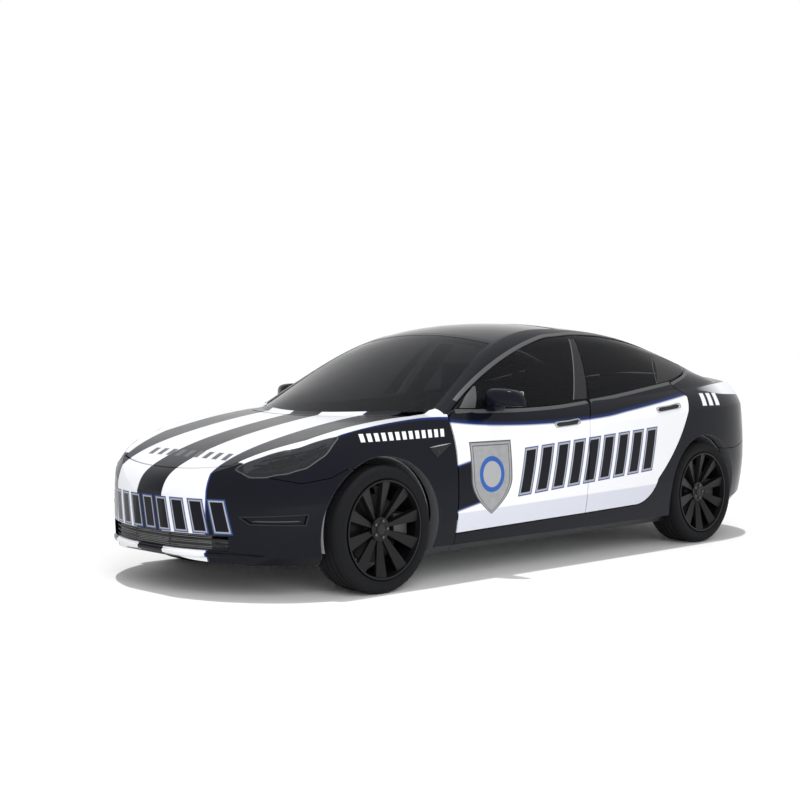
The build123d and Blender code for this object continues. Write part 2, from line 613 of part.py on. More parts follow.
# Fixed panels.
bumper_space = extruded(FRONT_BUMPER, -FAR_Y, FAR_Y)
rear_bumper_space = extruded(REAR_BUMPER, -FAR_Y, FAR_Y)
corner_core = Pos(-CORNER_SLOT_DEPTH, -CORNER_SLOT_DEPTH, 0) * body_form
corner_slot = extruded(CORNER_SLOT, CORNER_SLOT_Y, FAR_Y) - corner_core
parts["front_bumper"] = (rest & bumper_space) - corner_slot - mirrored(corner_slot)
parts["rear_bumper"] = rest & rear_bumper_space
bumper_keepout = side_prism(shrunk(plain(FRONT_BUMPER), -SEAM_GAP), -FAR_Y, FAR_Y)
rear_keepout = side_prism(shrunk(plain(REAR_BUMPER), -SEAM_GAP), -FAR_Y, FAR_Y)
fender_space = plan_prism(plain(FENDER_PLAN), FLOOR_TOP_Z, FENDER_TOP_Z)
fender_foot = block(FENDER_X, FLOOR_END_X, FLOOR_Y + SEAT_GAP, FAR_Y, PANEL_LOW_Z, FLOOR_TOP_Z)
fender_space = fender_space + fender_foot
pair("fender", (rest & fender_space) - bumper_keepout)
side_space = block(TAIL_X - SIDE_WALL, SIDE_X, ROOF_SPLIT_Y + SEAT_GAP, FAR_Y, PANEL_LOW_Z, ROOF_TOP_Z)
side_space = side_space - block(TAIL_X - SIDE_WALL, SIDE_X, 0.0, FLOOR_Y + SEAT_GAP,
                                PANEL_LOW_Z, FLOOR_TOP_Z + SEAT_GAP)
pair("body_side", (rest & side_space) - rear_keepout)
roof_space = block(-ROOF_BAR_X, ROOF_BAR_X, -ROOF_SPLIT_Y, ROOF_SPLIT_Y, ROOF_BAR_LOW_Z, ROOF_TOP_Z)
parts["roof_bars"] = rest & roof_space
for name, plan in (("windscreen", windscreen_plan), ("roof_glass", roof_plan), ("rear_glass", rear_plan)):
    parts[name] = glass_layer & plan_prism(shrunk(plan, SEAT_GAP), *GLASS_CUT_Z)
parts["headlamps"] = both_sides(shell & headlamp_prism(SEAT_GAP))
x0, x1, y0, y1, z0, z1 = TAIL_LAMP
tail_space = block(x0, x1 - SEAT_GAP, y0 + SEAT_GAP, y1, z0 + SEAT_GAP, z1 - SEAT_GAP)
parts["tail_lamps"] = both_sides(shell & tail_space)

# Grille: slats and posts that follow the nose, set back in their opening.
x0, x1, y0, y1, z0, z1 = GRILLE
y0 += SEAT_GAP
y1 -= SEAT_GAP
z0 += SEAT_GAP
z1 -= SEAT_GAP
slat_pitch = (z1 - z0 - SLAT_HEIGHT) / (GRILLE_SLATS - 1)
slats_z = [z0 + i * slat_pitch for i in range(GRILLE_SLATS)]
bars = [block(x0, x1, y0, y1, z, z + SLAT_HEIGHT) for z in slats_z]
bars += [block(x0, x1, y, y + GRILLE_POST, z0, z1) for y in (y0, *GRILLE_POSTS_Y, y1 - GRILLE_POST)]
lattice = bars[0].fuse(*bars[1:])
nose_layer = Pos(-GRILLE_SINK, 0, 0) * body_form - Pos(-GRILLE_SINK - GRILLE_DEPTH, 0, 0) * body_form
parts["front_grille"] = nose_layer & lattice

# Floor, firewall, trunk floor and battery.
x0, x1, y0, y1, z0, z1 = BATTERY
arm_x = (FRONT_AXLE_X - SUSPENSION_X, FRONT_AXLE_X + SUSPENSION_X)
slot_x = (arm_x[0] - SEAT_GAP, arm_x[1] + SEAT_GAP)
floor = rest & block(RISER_X[0], FLOOR_END_X, -FLOOR_Y, FLOOR_Y, PANEL_LOW_Z, FLOOR_TOP_Z)
floor = floor - block(x0 - SEAT_GAP, x1 + SEAT_GAP, y0 - SEAT_GAP, y1 + SEAT_GAP, 0.0, z1 + SEAT_GAP)
floor = floor - block(*slot_x, -FAR_Y, FAR_Y, 0.0, ARM_Z[1] + SEAT_GAP)
floor = floor - block(RISER_X[0], FIREWALL_X[1], -FLOOR_WELL_Y, FLOOR_WELL_Y, FLOOR_Z, FLOOR_TOP_Z + 1)
for y0, y1 in (TOWER_Y, (-TOWER_Y[1], -TOWER_Y[0])):
    floor = floor - block(*slot_x, y0 - SEAT_GAP, y1 + SEAT_GAP, 0.0, FLOOR_TOP_Z + 1)
floor = floor + block(*FIREWALL_X, -FIREWALL_Y, FIREWALL_Y, FLOOR_Z - 20.0, FIREWALL_TOP_Z)
riser_y = TRUNK_FLOOR_PLAN[0][1]
floor = floor + block(*RISER_X, -riser_y, riser_y, FLOOR_Z - 60.0, TRUNK_FLOOR_Z[1])
trunk_plan = plain(TRUNK_FLOOR_PLAN + [(x, -y) for x, y in TRUNK_FLOOR_PLAN[::-1]])
floor = floor + plan_prism(trunk_plan, *TRUNK_FLOOR_Z)
pad_half = JACK_PAD_SIZE / 2
for x, y in JACK_PADS:
    for pad_y in (y, -y):
        floor = floor + block(x - pad_half, x + pad_half, pad_y - pad_half, pad_y + pad_half, *JACK_PAD_Z)
parts["underbody"] = floor
parts["battery_pack"] = block(*BATTERY)

# Wheel arch liners.
liner_r = ARCH_RADIUS - SEAT_GAP
for end, axle_x, arch_y in (("front", FRONT_AXLE_X, FRONT_ARCH_Y), ("rear", REAR_AXLE_X, REAR_ARCH_Y)):
    inner_y = arch_y + SEAT_GAP
    liner = rod("Y", inner_y, LINER_OUTER_Y, liner_r, axle_x, TYRE_RADIUS)
    liner = liner - rod("Y", inner_y + LINER_WALL, FAR_Y, liner_r - LINER_WALL, axle_x, TYRE_RADIUS)
    liner = liner - rod("Y", 0.0, inner_y + LINER_WALL + 1, liner_r - LINER_FLANGE, axle_x, TYRE_RADIUS)
    liner = liner - block(axle_x - ARCH_RADIUS, axle_x + ARCH_RADIUS, 0.0, FAR_Y, -ARCH_RADIUS, LINER_LOW_Z)
    parts[f"arch_liners_{end}"] = both_sides(liner)

# Front suspension: one crossmember with towers, arms and the kingpins of both wheels.
kingpin_y = HALF_TRACK - KINGPIN_INSET
neck_y = kingpin_y - ARM_END_RADIUS
suspension = block(*arm_x, -neck_y, neck_y, *ARM_Z)
for side in (1, -1):
    neck = sorted((side * (neck_y - ARM_NECK), side * kingpin_y))
    upper = sorted((side * TOWER_Y[0], side * kingpin_y))
    tower = sorted((side * TOWER_Y[0], side * TOWER_Y[1]))
    pin = (FRONT_AXLE_X, side * kingpin_y)
    suspension = suspension + block(FRONT_AXLE_X - ARM_NECK, FRONT_AXLE_X + ARM_NECK, *neck, *ARM_Z)
    suspension = suspension + block(*arm_x, *tower, ARM_Z[0], UPPER_ARM_Z[1])
    upper_arm = block(FRONT_AXLE_X - UPPER_ARM_X, FRONT_AXLE_X + UPPER_ARM_X, *upper, *UPPER_ARM_Z)
    suspension = suspension + upper_arm
    for z0, z1 in (ARM_Z, UPPER_ARM_Z):
        suspension = suspension + rod("Z", z0, z1, ARM_END_RADIUS, *pin)
    suspension = suspension + rod("Z", ARM_Z[0], ARM_Z[1] + KINGPIN_REACH, KINGPIN_RADIUS, *pin)
    suspension = suspension + rod("Z", UPPER_ARM_Z[0] - KINGPIN_REACH, UPPER_ARM_Z[1], KINGPIN_RADIUS, *pin)
parts["front_suspension"] = suspension

# Front knuckles: hub carriers with lugs that turn on the kingpins.
front_place = Pos(FRONT_AXLE_X, HALF_TRACK, TYRE_RADIUS)
rear_place = Pos(REAR_AXLE_X, HALF_TRACK, TYRE_RADIUS)
knuckle = front_place * hub_carrier()
lug_y = (kingpin_y - KINGPIN_LUG, min(kingpin_y + KINGPIN_LUG, HALF_TRACK + CARRIER_Y[1]))
for z0, z1 in ((ARM_Z[1] + LUG_GAP, TYRE_RADIUS), (TYRE_RADIUS, UPPER_ARM_Z[0] - LUG_GAP)):
    knuckle = knuckle + block(FRONT_AXLE_X - KINGPIN_LUG, FRONT_AXLE_X + KINGPIN_LUG, *lug_y, z0, z1)
for z0, z1 in ((ARM_Z[1], ARM_Z[1] + KINGPIN_REACH + BORE_ROOM),
               (UPPER_ARM_Z[0] - KINGPIN_REACH - BORE_ROOM, UPPER_ARM_Z[0])):
    knuckle = knuckle - rod("Z", z0, z1, KINGPIN_RADIUS + PIN_GAP, FRONT_AXLE_X, kingpin_y)
pair("knuckle_front", knuckle)

# Rear suspension: crossmember, arms and hub carriers in one, with the drive shafts.
carrier_y = HALF_TRACK + CARRIER_Y[0]
beam_y = carrier_y + REAR_POST
rear_beam = block(REAR_AXLE_X - REAR_BEAM_X, REAR_AXLE_X + REAR_BEAM_X, -beam_y, beam_y, *REAR_BEAM_Z)
carrier = rear_place * hub_carrier()
post_x = (REAR_AXLE_X - REAR_POST, REAR_AXLE_X + REAR_POST)
carrier = carrier + block(*post_x, carrier_y, beam_y, REAR_BEAM_Z[0], TYRE_RADIUS)
shaft_y = (DRIVE_UNIT[3] + SEAT_GAP, carrier_y + 10.0)
carrier = carrier + rod("Y", *shaft_y, SHAFT_RADIUS, REAR_AXLE_X, TYRE_RADIUS)
parts["rear_suspension"] = rear_beam + carrier + mirrored(carrier)
parts["rear_drive_unit"] = block(*DRIVE_UNIT, REAR_BEAM_Z[1] + SEAT_GAP, TRUNK_FLOOR_Z[0] - SEAT_GAP)

# Wheels, drawn about the axle with the outer face at +Y.
tyre_half = TYRE_WIDTH / 2
bead = RIM_RADIUS + SEAT_GAP
half_section = [(bead, tyre_half - 16), (bead + BEAD_RISE, tyre_half - 4)]
half_section += [(TYRE_RADIUS - depth, tyre_half - inset) for depth, inset in TYRE_SECTION]
tyre = turned([(r, -y) for r, y in half_section] + half_section[::-1], Pos(0, 0, 0))
rim_half = RIM_WIDTH / 2
inner_r = RIM_RADIUS - RIM_WALL
rim = turned([(RIM_RADIUS, -rim_half), (RIM_RADIUS, rim_half), (inner_r, rim_half),
              (inner_r - 6, rim_half - 30), (inner_r, rim_half - 50), (inner_r, -rim_half)], Pos(0, 0, 0))
rim = rim + rod("Y", HUB_BACK, HUB_FACE, HUB_RADIUS, 0.0, 0.0)
blade = []
for radius, lead, trail, ridge_y, back_y in (SPOKE_INNER, SPOKE_OUTER):
    corners = [(-trail, back_y), (lead, back_y), (lead * 0.6, ridge_y), (-trail, ridge_y - SPOKE_EDGE)]
    blade.append(Wire.make_polygon([(x, y, radius) for x, y in corners], close=True))
spoke = Solid.make_loft(blade, ruled=True)
for i in range(SPOKES):
    rim = rim + Rot(0, 360.0 / SPOKES * i, 0) * spoke
hat_y = HUB_BACK + 2.0
disc = turned([(SPINDLE_RADIUS, DISC_Y[0]), (DISC_RADIUS, DISC_Y[0]), (DISC_RADIUS, DISC_Y[1]),
               (HUB_RADIUS + 12, DISC_Y[1]), (HUB_RADIUS - 4, hat_y), (SPINDLE_RADIUS, hat_y)], Pos(0, 0, 0))
rim = rim + disc - rod("Y", -RIM_WIDTH, HUB_FACE - 12.0, SPINDLE_RADIUS, 0.0, 0.0)
for end, place in (("front", front_place), ("rear", rear_place)):
    for name, shape in (("tyre", tyre), ("rim", rim)):
        pair(f"{name}_{end}", place * shape)

# Doors: panel with hinge pockets and bores, and a frameless pane.
hinge_x = {"front": DOOR_FRONT_EDGE[0][0] - HINGE_SETBACK, "rear": B_SEAM[1][0] - HINGE_SETBACK}
back, out, down, up = POCKET
for end, outline, window in (("front", front_door, front_window), ("rear", rear_door, rear_window)):
    panel = shell & side_prism(outline, DOOR_INNER_Y, FAR_Y, DOOR_DRAFT)
    for z in HINGE_HEIGHTS:
        pocket_x = (hinge_x[end] - back, hinge_x[end] + HINGE_SETBACK + POCKET_ROOM)
        panel = panel - block(*pocket_x, DOOR_INNER_Y - 20, HINGE_Y + out, z - down, z + up)
        bore_top = z + PIN_LENGTH + BORE_ROOM
        panel = panel - rod("Z", z, bore_top, HINGE_PIN_RADIUS + PIN_GAP, hinge_x[end], HINGE_Y)
    pair(f"door_{end}", panel)
    pair(f"door_glass_{end}", glass_layer & side_prism(window, WINDOW_INNER_Y, FAR_Y))

# Door pillars: a post ahead of each front door and a B-pillar, each with two hinge pins.
x0, x1, y0, y1, top = POST
post = block(x0, x1, y0, y1, SEAT_FOOT_Z, top)
pillar_x, pillar_y = PILLAR_SIZE
rings = []
for z, x, y in B_PILLAR:
    rings.append(Wire.make_polygon([(x - pillar_x / 2, y - pillar_y, z), (x + pillar_x / 2, y - pillar_y, z),
                                    (x + pillar_x / 2, y, z), (x - pillar_x / 2, y, z)], close=True))
stretches = [Solid.make_loft(ends, ruled=True) for ends in zip(rings, rings[1:])]
pillar = stretches[0].fuse(*stretches[1:])
pillars = []
for end, base, seat_y in (("front", post, y1 - 20.0), ("rear", pillar, PILLAR_ARM_Y)):
    arm_span = (hinge_x[end] - ARM_HALF, hinge_x[end] + ARM_HALF)
    for z in HINGE_HEIGHTS:
        base = base + block(*arm_span, seat_y, HINGE_Y, z - HINGE_ARM_DROP, z)
        base = base + rod("Z", z - HINGE_ARM_DROP, z, ARM_HALF, hinge_x[end], HINGE_Y)
        base = base + rod("Z", z - 5.0, z + PIN_LENGTH, HINGE_PIN_RADIUS, hinge_x[end], HINGE_Y)
    pillars += [base.solid(), mirrored(base.solid())]
parts["door_pillars"] = Compound(pillars)

# Mirrors on the front doors.
housing = plan_prism(plain(MIRROR_PLAN), *MIRROR_Z)
housing = fillet(housing.edges(), MIRROR_FILLET)
mirror_shape = housing + block(*MIRROR_FOOT)
for lift in (0.0, SEAT_GAP):
    for carrier_node in ("door_front_left", "door_glass_front_left"):
        mirror_shape = mirror_shape - Pos(0, lift, lift) * parts[carrier_node]
mirror_shape = mirror_shape - block(*MIRROR_INNER)
pair("mirror", mirror_shape.solids().sort_by(SortBy.VOLUME)[-1])

# Hood, with a hinge lug at each rear corner, and the cowl that carries it.
ax, az = HOOD_AXIS
hood = (shell & plan_prism(shrunk(hood_plan, PANEL_GAP), *HOOD_CUT_Z)) - Pos(0, 0, -HOOD_DEPTH) * body_form
lug = rod("Y", *HOOD_LUG_Y, LUG_RADIUS, ax, az)
lug = lug + block(ax, ax + HOOD_LUG_REACH, *HOOD_LUG_Y, az - LUG_RADIUS, az + LUG_STEP)
bore = rod("Y", HOOD_LUG_Y[0] - LUG_REACH, HOOD_LUG_Y[1] + LUG_REACH, LID_PIN_RADIUS + PIN_GAP, ax, az)
parts["hood"] = hood + lug + mirrored(lug) - bore - mirrored(bore)
cowl = (rest & block(*COWL)) - plan_prism(shrunk(hood_plan, -LID_GAP / 2), *HOOD_CUT_Z)
tray = block(*COWL_TRAY) + block(*COWL_RISER)
tray = tray + block(ax - LUG_RADIUS, ax + LUG_RADIUS, *HOOD_BRACKET_Y, COWL_TRAY[4], az + LUG_RADIUS)
tray = tray + rod("Y", HOOD_LUG_Y[0] + 2.0, HOOD_BRACKET_Y[1], LID_PIN_RADIUS, ax, az)
parts["cowl_panel"] = cowl + tray + mirrored(tray)

# Trunk lid with its lamps, and the parcel shelf that carries it.
lx, lz = LID_AXIS
lid = shell & plan_prism(shrunk(lid_plan, PANEL_GAP), LID_BOTTOM_Z + PANEL_GAP, LID_CUT_TOP_Z)
lug = rod("Y", *LID_LUG_Y, LUG_RADIUS, lx, lz)
lug = lug + block(lx - LID_LUG_REACH, lx, *LID_LUG_Y, lz - LUG_RADIUS, lz)
bore = rod("Y", LID_LUG_Y[0] - LUG_REACH, LID_LUG_Y[1] + LUG_REACH, LID_PIN_RADIUS + PIN_GAP, lx, lz)
lid = lid + lug + mirrored(lug) - bore - mirrored(bore)
x0, x1, y0, y1, z0, z1 = LID_LAMP
lamp = lid & block(x0, x1, y0 + SEAT_GAP, y1 - SEAT_GAP, z0 + SEAT_GAP, z1 - SEAT_GAP)
socket = block(*LID_LAMP)
parts["trunk_lid"] = lid - socket - mirrored(socket)
parts["lid_lamps"] = both_sides(lamp)
shelf = block(lx - LUG_RADIUS, SEAT_BACK_X - SEAT_GAP, -SHELF_Y, SHELF_Y, *SHELF_Z)
bracket = block(lx - LID_BRACKET_HALF, lx + LID_BRACKET_HALF, *LID_BRACKET_Y, SHELF_Z[0], lz)
bracket = bracket + rod("Y", *LID_BRACKET_Y, LID_BRACKET_HALF, lx, lz)
bracket = bracket + rod("Y", LID_LUG_Y[0] + 2.0, LID_BRACKET_Y[1], LID_PIN_RADIUS, lx, lz)
parts["parcel_shelf"] = shelf + bracket + mirrored(bracket)

# Cabin: dashboard with the steering column, steering wheel, console and seats.
column_place = Pos(*COLUMN_PLACE) * Rot(0, COLUMN_TILT - 90.0, 0)
column = column_place * Pos(0, 0, -COLUMN_LENGTH / 2) * Cylinder(COLUMN_RADIUS, COLUMN_LENGTH)
parts["dashboard"] = extruded(DASH, -DASH_Y, DASH_Y) + column
hub_radius, hub_length = STEERING_HUB
wheel = Torus(STEERING_RADIUS, STEERING_GRIP) + Cylinder(hub_radius, hub_length)
spoke_length = STEERING_RADIUS - hub_radius + 12.0
for angle in (0, 180, 90):
    spoke = Pos((STEERING_RADIUS + hub_radius) / 2, 0, -4) * Box(spoke_length, *STEERING_SPOKE)
    wheel = wheel + Rot(0, 0, angle) * spoke
wheel = wheel - Pos(0, 0, -50) * Cylinder(COLUMN_RADIUS + PIN_GAP, 106.0)
parts["steering_wheel"] = column_place * wheel
parts["centre_console"] = block(*CONSOLE)
front_seat = extruded(FRONT_SEAT, DRIVER_Y - FRONT_SEAT_HALF, DRIVER_Y + FRONT_SEAT_HALF)
front_seat = front_seat + extruded(HEADREST, DRIVER_Y - HEADREST_HALF, DRIVER_Y + HEADREST_HALF)
pair("front_seat", front_seat)
parts["rear_seat"] = extruded(REAR_SEAT, -REAR_SEAT_Y, REAR_SEAT_Y)
x0, x1, y0, y1, z0, z1 = FRONT_TRUNK
wall = FRONT_TRUNK_WALL
tub = block(*FRONT_TRUNK) - block(x0 + wall, x1 - wall, y0 + wall, y1 - wall, z0 + wall, z1 + wall)
tub = tub + block(FIREWALL_X[1] + SEAT_GAP, x0 + wall / 2, y0, y1, z1 - FRONT_TRUNK_LEDGE, z1)
parts["front_trunk"] = tub

os.makedirs("parts", exist_ok=True)
for name, shape in parts.items():
    export_step(shape, f"parts/{name}.step")
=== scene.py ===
"""Looks of the police patrol car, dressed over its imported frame. Metres, in the frame's own axes."""

import cmath
import json
import math

import bmesh
import bpy
from mathutils import Matrix, Vector
from mathutils.bvhtree import BVHTree


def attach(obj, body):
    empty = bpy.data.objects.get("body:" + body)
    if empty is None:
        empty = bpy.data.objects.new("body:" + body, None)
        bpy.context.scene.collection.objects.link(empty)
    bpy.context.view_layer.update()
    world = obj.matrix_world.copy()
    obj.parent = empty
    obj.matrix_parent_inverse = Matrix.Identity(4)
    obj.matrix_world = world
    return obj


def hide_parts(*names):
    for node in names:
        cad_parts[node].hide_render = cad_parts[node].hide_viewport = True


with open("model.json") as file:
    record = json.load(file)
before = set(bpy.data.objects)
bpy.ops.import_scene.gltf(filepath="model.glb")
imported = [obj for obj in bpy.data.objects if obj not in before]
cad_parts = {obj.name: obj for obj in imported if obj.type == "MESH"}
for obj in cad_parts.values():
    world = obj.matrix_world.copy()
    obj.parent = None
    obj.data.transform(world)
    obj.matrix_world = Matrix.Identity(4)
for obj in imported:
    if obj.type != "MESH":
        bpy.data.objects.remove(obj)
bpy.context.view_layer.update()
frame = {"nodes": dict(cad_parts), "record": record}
nodes = frame["nodes"]
SIDES = (("left", 1), ("right", -1))
ENDS = ("front", "rear")
CORNERS = [(end, sign, f"{end}_{side}") for end in ENDS for side, sign in SIDES]
UP = Vector((0, 0, 1))
AHEAD = Vector((1, 0, 0))

# Camera, at the photograph's angle.
CAMERA_PLACE = (6.3337, 6.0346, 1.2262)
CAMERA_YAW = math.radians(-133.84)
CAMERA_PITCH = math.radians(-1.81)
CAMERA_LENS = 61.776
SENSOR = 36.0
CAMERA_REACH = 400.0

# Light.
WORLD_LEVEL = 0.50
SUN_LEVEL = 1.75
SUN_TILT = (0.03, 0.02)
SUN_ANGLE = math.radians(1.5)
FILL_POWER = 330.0
FILL_PLACE = (4.5, 6.5, 3.6)
FILL_TARGET = Vector((0.0, 0.0, 0.6))
FILL_SIZE = 5.0
FLOOR_SIZE = 240.0

# Wheels.
AXLE_X = {"front": 1.506, "rear": -1.369}
HALF_TRACK = 0.790
TYRE_RADIUS = 0.334
TYRE_HALF = 0.1175
BEAD_RADIUS = 0.2585
HUB_FACE = 0.074

# Side seams and trim lines, as (x, z).
BELT = {"front": [(0.925, 0.930), (0.640, 0.924), (0.353, 0.924), (0.060, 0.934), (-0.228, 0.957)],
        "rear": [(-0.242, 0.959), (-0.490, 0.982), (-0.743, 1.011), (-0.940, 1.034), (-1.126, 1.055)]}
WINDOW_TOP_FRONT = ((0.930, 0.930), (0.428, 1.192), (-0.095, 1.340))
WINDOW_TOP_MIDDLE = [(-0.195, 1.3473), (-0.295, 1.3547), (-0.395, 1.360), (-0.525, 1.359)]
WINDOW_TOP_REAR = ((-0.654, 1.354), (-1.130, 1.285), (-1.545, 1.160))
WINDOW_TAIL = [(-1.545, 1.160), (-1.446, 1.1325), (-1.346, 1.105), (-1.240, 1.081), (-1.140, 1.058)]
RAIL_OUT = 0.0115
ARCH_RADIUS = 0.378
DOOR_WHITE_TOP = [(0.985, 0.867), (0.545, 0.838), (0.129, 0.837), (-0.286, 0.856), (-0.552, 0.886),
                  (-1.240, 0.975)]
FENDER_BAND = [(2.143, 0.564), (2.033, 0.644), (1.932, 0.700), (1.761, 0.744), (1.620, 0.759), (1.478, 0.778),
               (1.247, 0.804), (0.980, 0.836)]

# Colours, linear.
BLACK = (0.0040, 0.0045, 0.0085)
WHITE = (0.80, 0.81, 0.84)
PAINTED_DOOR_SHADE = (0.60, 0.62, 0.69)
# Painted shade: a greyer white for the lower door, where the skin would turn under and away from the light.
BLUE = (0.030, 0.065, 0.230)
DEEP_BLUE = (0.011, 0.027, 0.135)
GREY = (0.36, 0.37, 0.39)
ARCH_GREY = (0.090, 0.092, 0.097)
UNDERSIDE = (0.010, 0.010, 0.011)
DOOR_CARD = (0.022, 0.022, 0.023)

# Half width of a colour's soft edge.
SOFT = 0.0015


class Field:
    """A number or colour that varies over a surface, worked out by shader nodes."""

    def __init__(self, tree, socket):
        self.tree = tree
        self.socket = socket

    def math(self, operation, *others):
        made = self.tree.nodes.new("ShaderNodeMath")
        made.operation = operation
        for socket, value in zip(made.inputs, (self,) + others):
            feed(self.tree, socket, value)
        return Field(self.tree, made.outputs[0])

    def __add__(self, other):
        return self.math("ADD", other)

    def __sub__(self, other):
        return self.math("SUBTRACT", other)

    def __mul__(self, other):
        return self.math("MULTIPLY", other)

    def __abs__(self):
        return self.math("ABSOLUTE")

    def above(self, edge, soft=SOFT):
        """1 where the field is above edge, 0 below it, with a soft change."""
        made = self.tree.nodes.new("ShaderNodeMapRange")
        feed(self.tree, made.inputs["Value"], self - edge)
        made.inputs["From Min"].default_value = -soft
        made.inputs["From Max"].default_value = soft
        return Field(self.tree, made.outputs["Result"])

    def below(self, edge, soft=SOFT):
        return (self * -1.0).above(edge * -1.0, soft)

    def between(self, low, high, soft=SOFT):
        return self.above(low, soft) * self.below(high, soft)

    def curve(self, keys):
        """Smooth value through (place, value) keys."""
        keys = sorted(keys)
        x0, x1 = keys[0][0], keys[-1][0]
        low = min(v for _, v in keys)
        span = max(v for _, v in keys) - low
        made = self.tree.nodes.new("ShaderNodeFloatCurve")
        points = made.mapping.curves[0].points
        for i, (x, value) in enumerate(keys):
            place = ((x - x0) / (x1 - x0), (value - low) / span)
            if i in (0, len(keys) - 1):
                points[0 if i == 0 else len(points) - 1].location = place
            else:
                points.new(*place)
        made.mapping.update()
        feed(self.tree, made.inputs["Value"], (self - x0) * (1 / (x1 - x0)))
        return Field(self.tree, made.outputs[0]) * span + low


def feed(tree, socket, value):
    """Links a field to a socket, or sets the socket to a colour or a number."""
    if isinstance(value, Field):
        tree.links.new(value.socket, socket)
    elif isinstance(value, tuple):
        socket.default_value = value + (1.0,)
    else:
        socket.default_value = value


def place_fields(tree, kind="Object"):
    """The three coordinates of a surface point, or of its normal, in the part's own frame."""
    coords = tree.nodes.new("ShaderNodeTexCoord")
    split = tree.nodes.new("ShaderNodeSeparateXYZ")
    tree.links.new(coords.outputs[kind], split.inputs[0])
    return tuple(Field(tree, out) for out in split.outputs)


NOISE_DETAIL = 3.0
BROAD_SCALE = 9.0
ROUGH_SPREAD = 0.12
BUMP_STRENGTH = 0.6
# A mix node's factor and colour inputs, and its colour output.
MIX_INPUTS = (0, 6, 7)
MIX_OUTPUT = 2


def noise(tree, scale, stretch=(1.0, 1.0, 1.0)):
    """Noise about 0.5 with features of about 1/scale metres."""
    coords = tree.nodes.new("ShaderNodeTexCoord")
    mapping = tree.nodes.new("ShaderNodeMapping")
    mapping.inputs["Scale"].default_value = stretch
    made = tree.nodes.new("ShaderNodeTexNoise")
    made.inputs["Scale"].default_value = scale
    made.inputs["Detail"].default_value = NOISE_DETAIL
    tree.links.new(coords.outputs["Object"], mapping.inputs["Vector"])
    tree.links.new(mapping.outputs[0], made.inputs["Vector"])
    return Field(tree, made.outputs[0])


def mixed(factor, first, second):
    """Colour that goes from first to second with factor; either may vary itself."""
    made = factor.tree.nodes.new("ShaderNodeMix")
    made.data_type = "RGBA"
    for place, value in zip(MIX_INPUTS, (factor, first, second)):
        feed(factor.tree, made.inputs[place], value)
    return Field(factor.tree, made.outputs[MIX_OUTPUT])


def layered(base, *layers):
    """Base colour under layers of (mask, colour)."""
    for mask, color in layers:
        base = mixed(mask, base, color)
    return base


def finish(name, color, rough, grain, depth, vary, sockets=(), stretch=(1.0, 1.0, 1.0)):
    """Material whose colour, roughness and surface vary with a grain of that scale and depth."""
    material = bpy.data.materials.new(name)
    material.use_nodes = True
    tree = material.node_tree
    shader = tree.nodes["Principled BSDF"]
    fine = noise(tree, grain, stretch)
    broad = noise(tree, BROAD_SCALE)
    if callable(color):
        shade = color(tree)
    else:
        dark = tuple(c * (1 - vary) for c in color)
        light = tuple(min(1.0, c * (1 + vary)) for c in color)
        shade = mixed((fine + broad) * 0.5, dark, light)
    feed(tree, shader.inputs["Base Color"], shade)
    feed(tree, shader.inputs["Roughness"], (broad - 0.5) * ROUGH_SPREAD + rough)
    if depth:
        bump = tree.nodes.new("ShaderNodeBump")
        bump.inputs["Strength"].default_value = BUMP_STRENGTH
        bump.inputs["Distance"].default_value = depth
        feed(tree, bump.inputs["Height"], fine)
        tree.links.new(bump.outputs[0], shader.inputs["Normal"])
    for key, value in dict(sockets).items():
        shader.inputs[key.replace("_", " ")].default_value = value
    return material


# Livery: stripes over the nose and hood, bands on the fenders and shoulders, white doors.
STRIPE_CENTRE = [(1.10, 0.128), (1.60, 0.120), (2.40, 0.112)]
STRIPE_EDGE = [(1.10, 0.418), (1.90, 0.405), (2.40, 0.400)]
EDGE_LINE = 0.007
# Painted sheen: the hood's bars take the grey that black shows with light glancing off it.
HOOD_BARS_SHEEN_GREY = (0.075, 0.080, 0.095)
HOOD_LOW_Z = 0.62
BAND_LOW_Z = 0.60
# Rows of slanted bars: first and last place along the row, count, lean, half height, share filled.
NOSE_BARS = (0.535, -0.535, 9, -0.22, 0.074, 0.56)
HOOD_BARS = (0.40, -0.34, 9, 0.30, 0.036, 0.52)
FENDER_BARS = (1.605, 1.035, 13, -0.25, 0.020, 0.58)
SHOULDER_BARS = (-1.365, -1.600, 3, -0.25, 0.040, 0.60)
DOOR_BARS = (0.478, -0.820, 9, -0.256, 0.118, 0.56)
# Middles of the rows. A long distance hides the nose's bars behind an x.
NOSE_BARS_Z = 0.424
NOSE_BARS_BACK = 2.0
HIDDEN = 9.0
HOOD_BARS_X = 2.110
SHOULDER_BARS_Z = 0.943
# Sloping lines on the sides, as x and z of a place on each and its slope.
FENDER_BARS_LINE = (1.62, 0.8055, -0.020)
DOOR_BARS_LINE = (0.479, 0.5715, -0.0605)
# Below this line the door's white is greyed with painted shade.
DOOR_SHADE_LINE = (0.97, 0.378, -0.0253)
DOOR_LEAD_LINE = (0.985, 0.5125, -0.19)
LEAD_HALF = 0.1135
LEAD_END = 0.740
# White patch on the shoulder: its lower and upper edge, and the x and half length of its fading front.
PATCH_LOW = [(-2.30, 0.955), (-1.90, 0.968), (-1.66, 0.976), (-1.45, 0.999), (-1.28, 1.007)]
PATCH_HIGH = [(-2.30, 1.060), (-1.90, 1.052), (-1.66, 1.040), (-1.45, 1.022), (-1.28, 1.008)]
PATCH_FADE = (-1.56, 0.16)
# Plain shield on the front doors: its middle as (x, z), half width and half height, ring and colours.
SHIELD = (0.711, 0.556)
SHIELD_HALF = (0.158, 0.196)
RING_RAISE = 0.02
RING_RADII = (0.072, 0.100)
SHIELD_EDGE = (0.075, 0.077, 0.083)
SHIELD_FIELD = (0.235, 0.24, 0.25)
SHIELD_RING = (0.030, 0.105, 0.36)
SHIELD_HEART = (0.36, 0.365, 0.375)
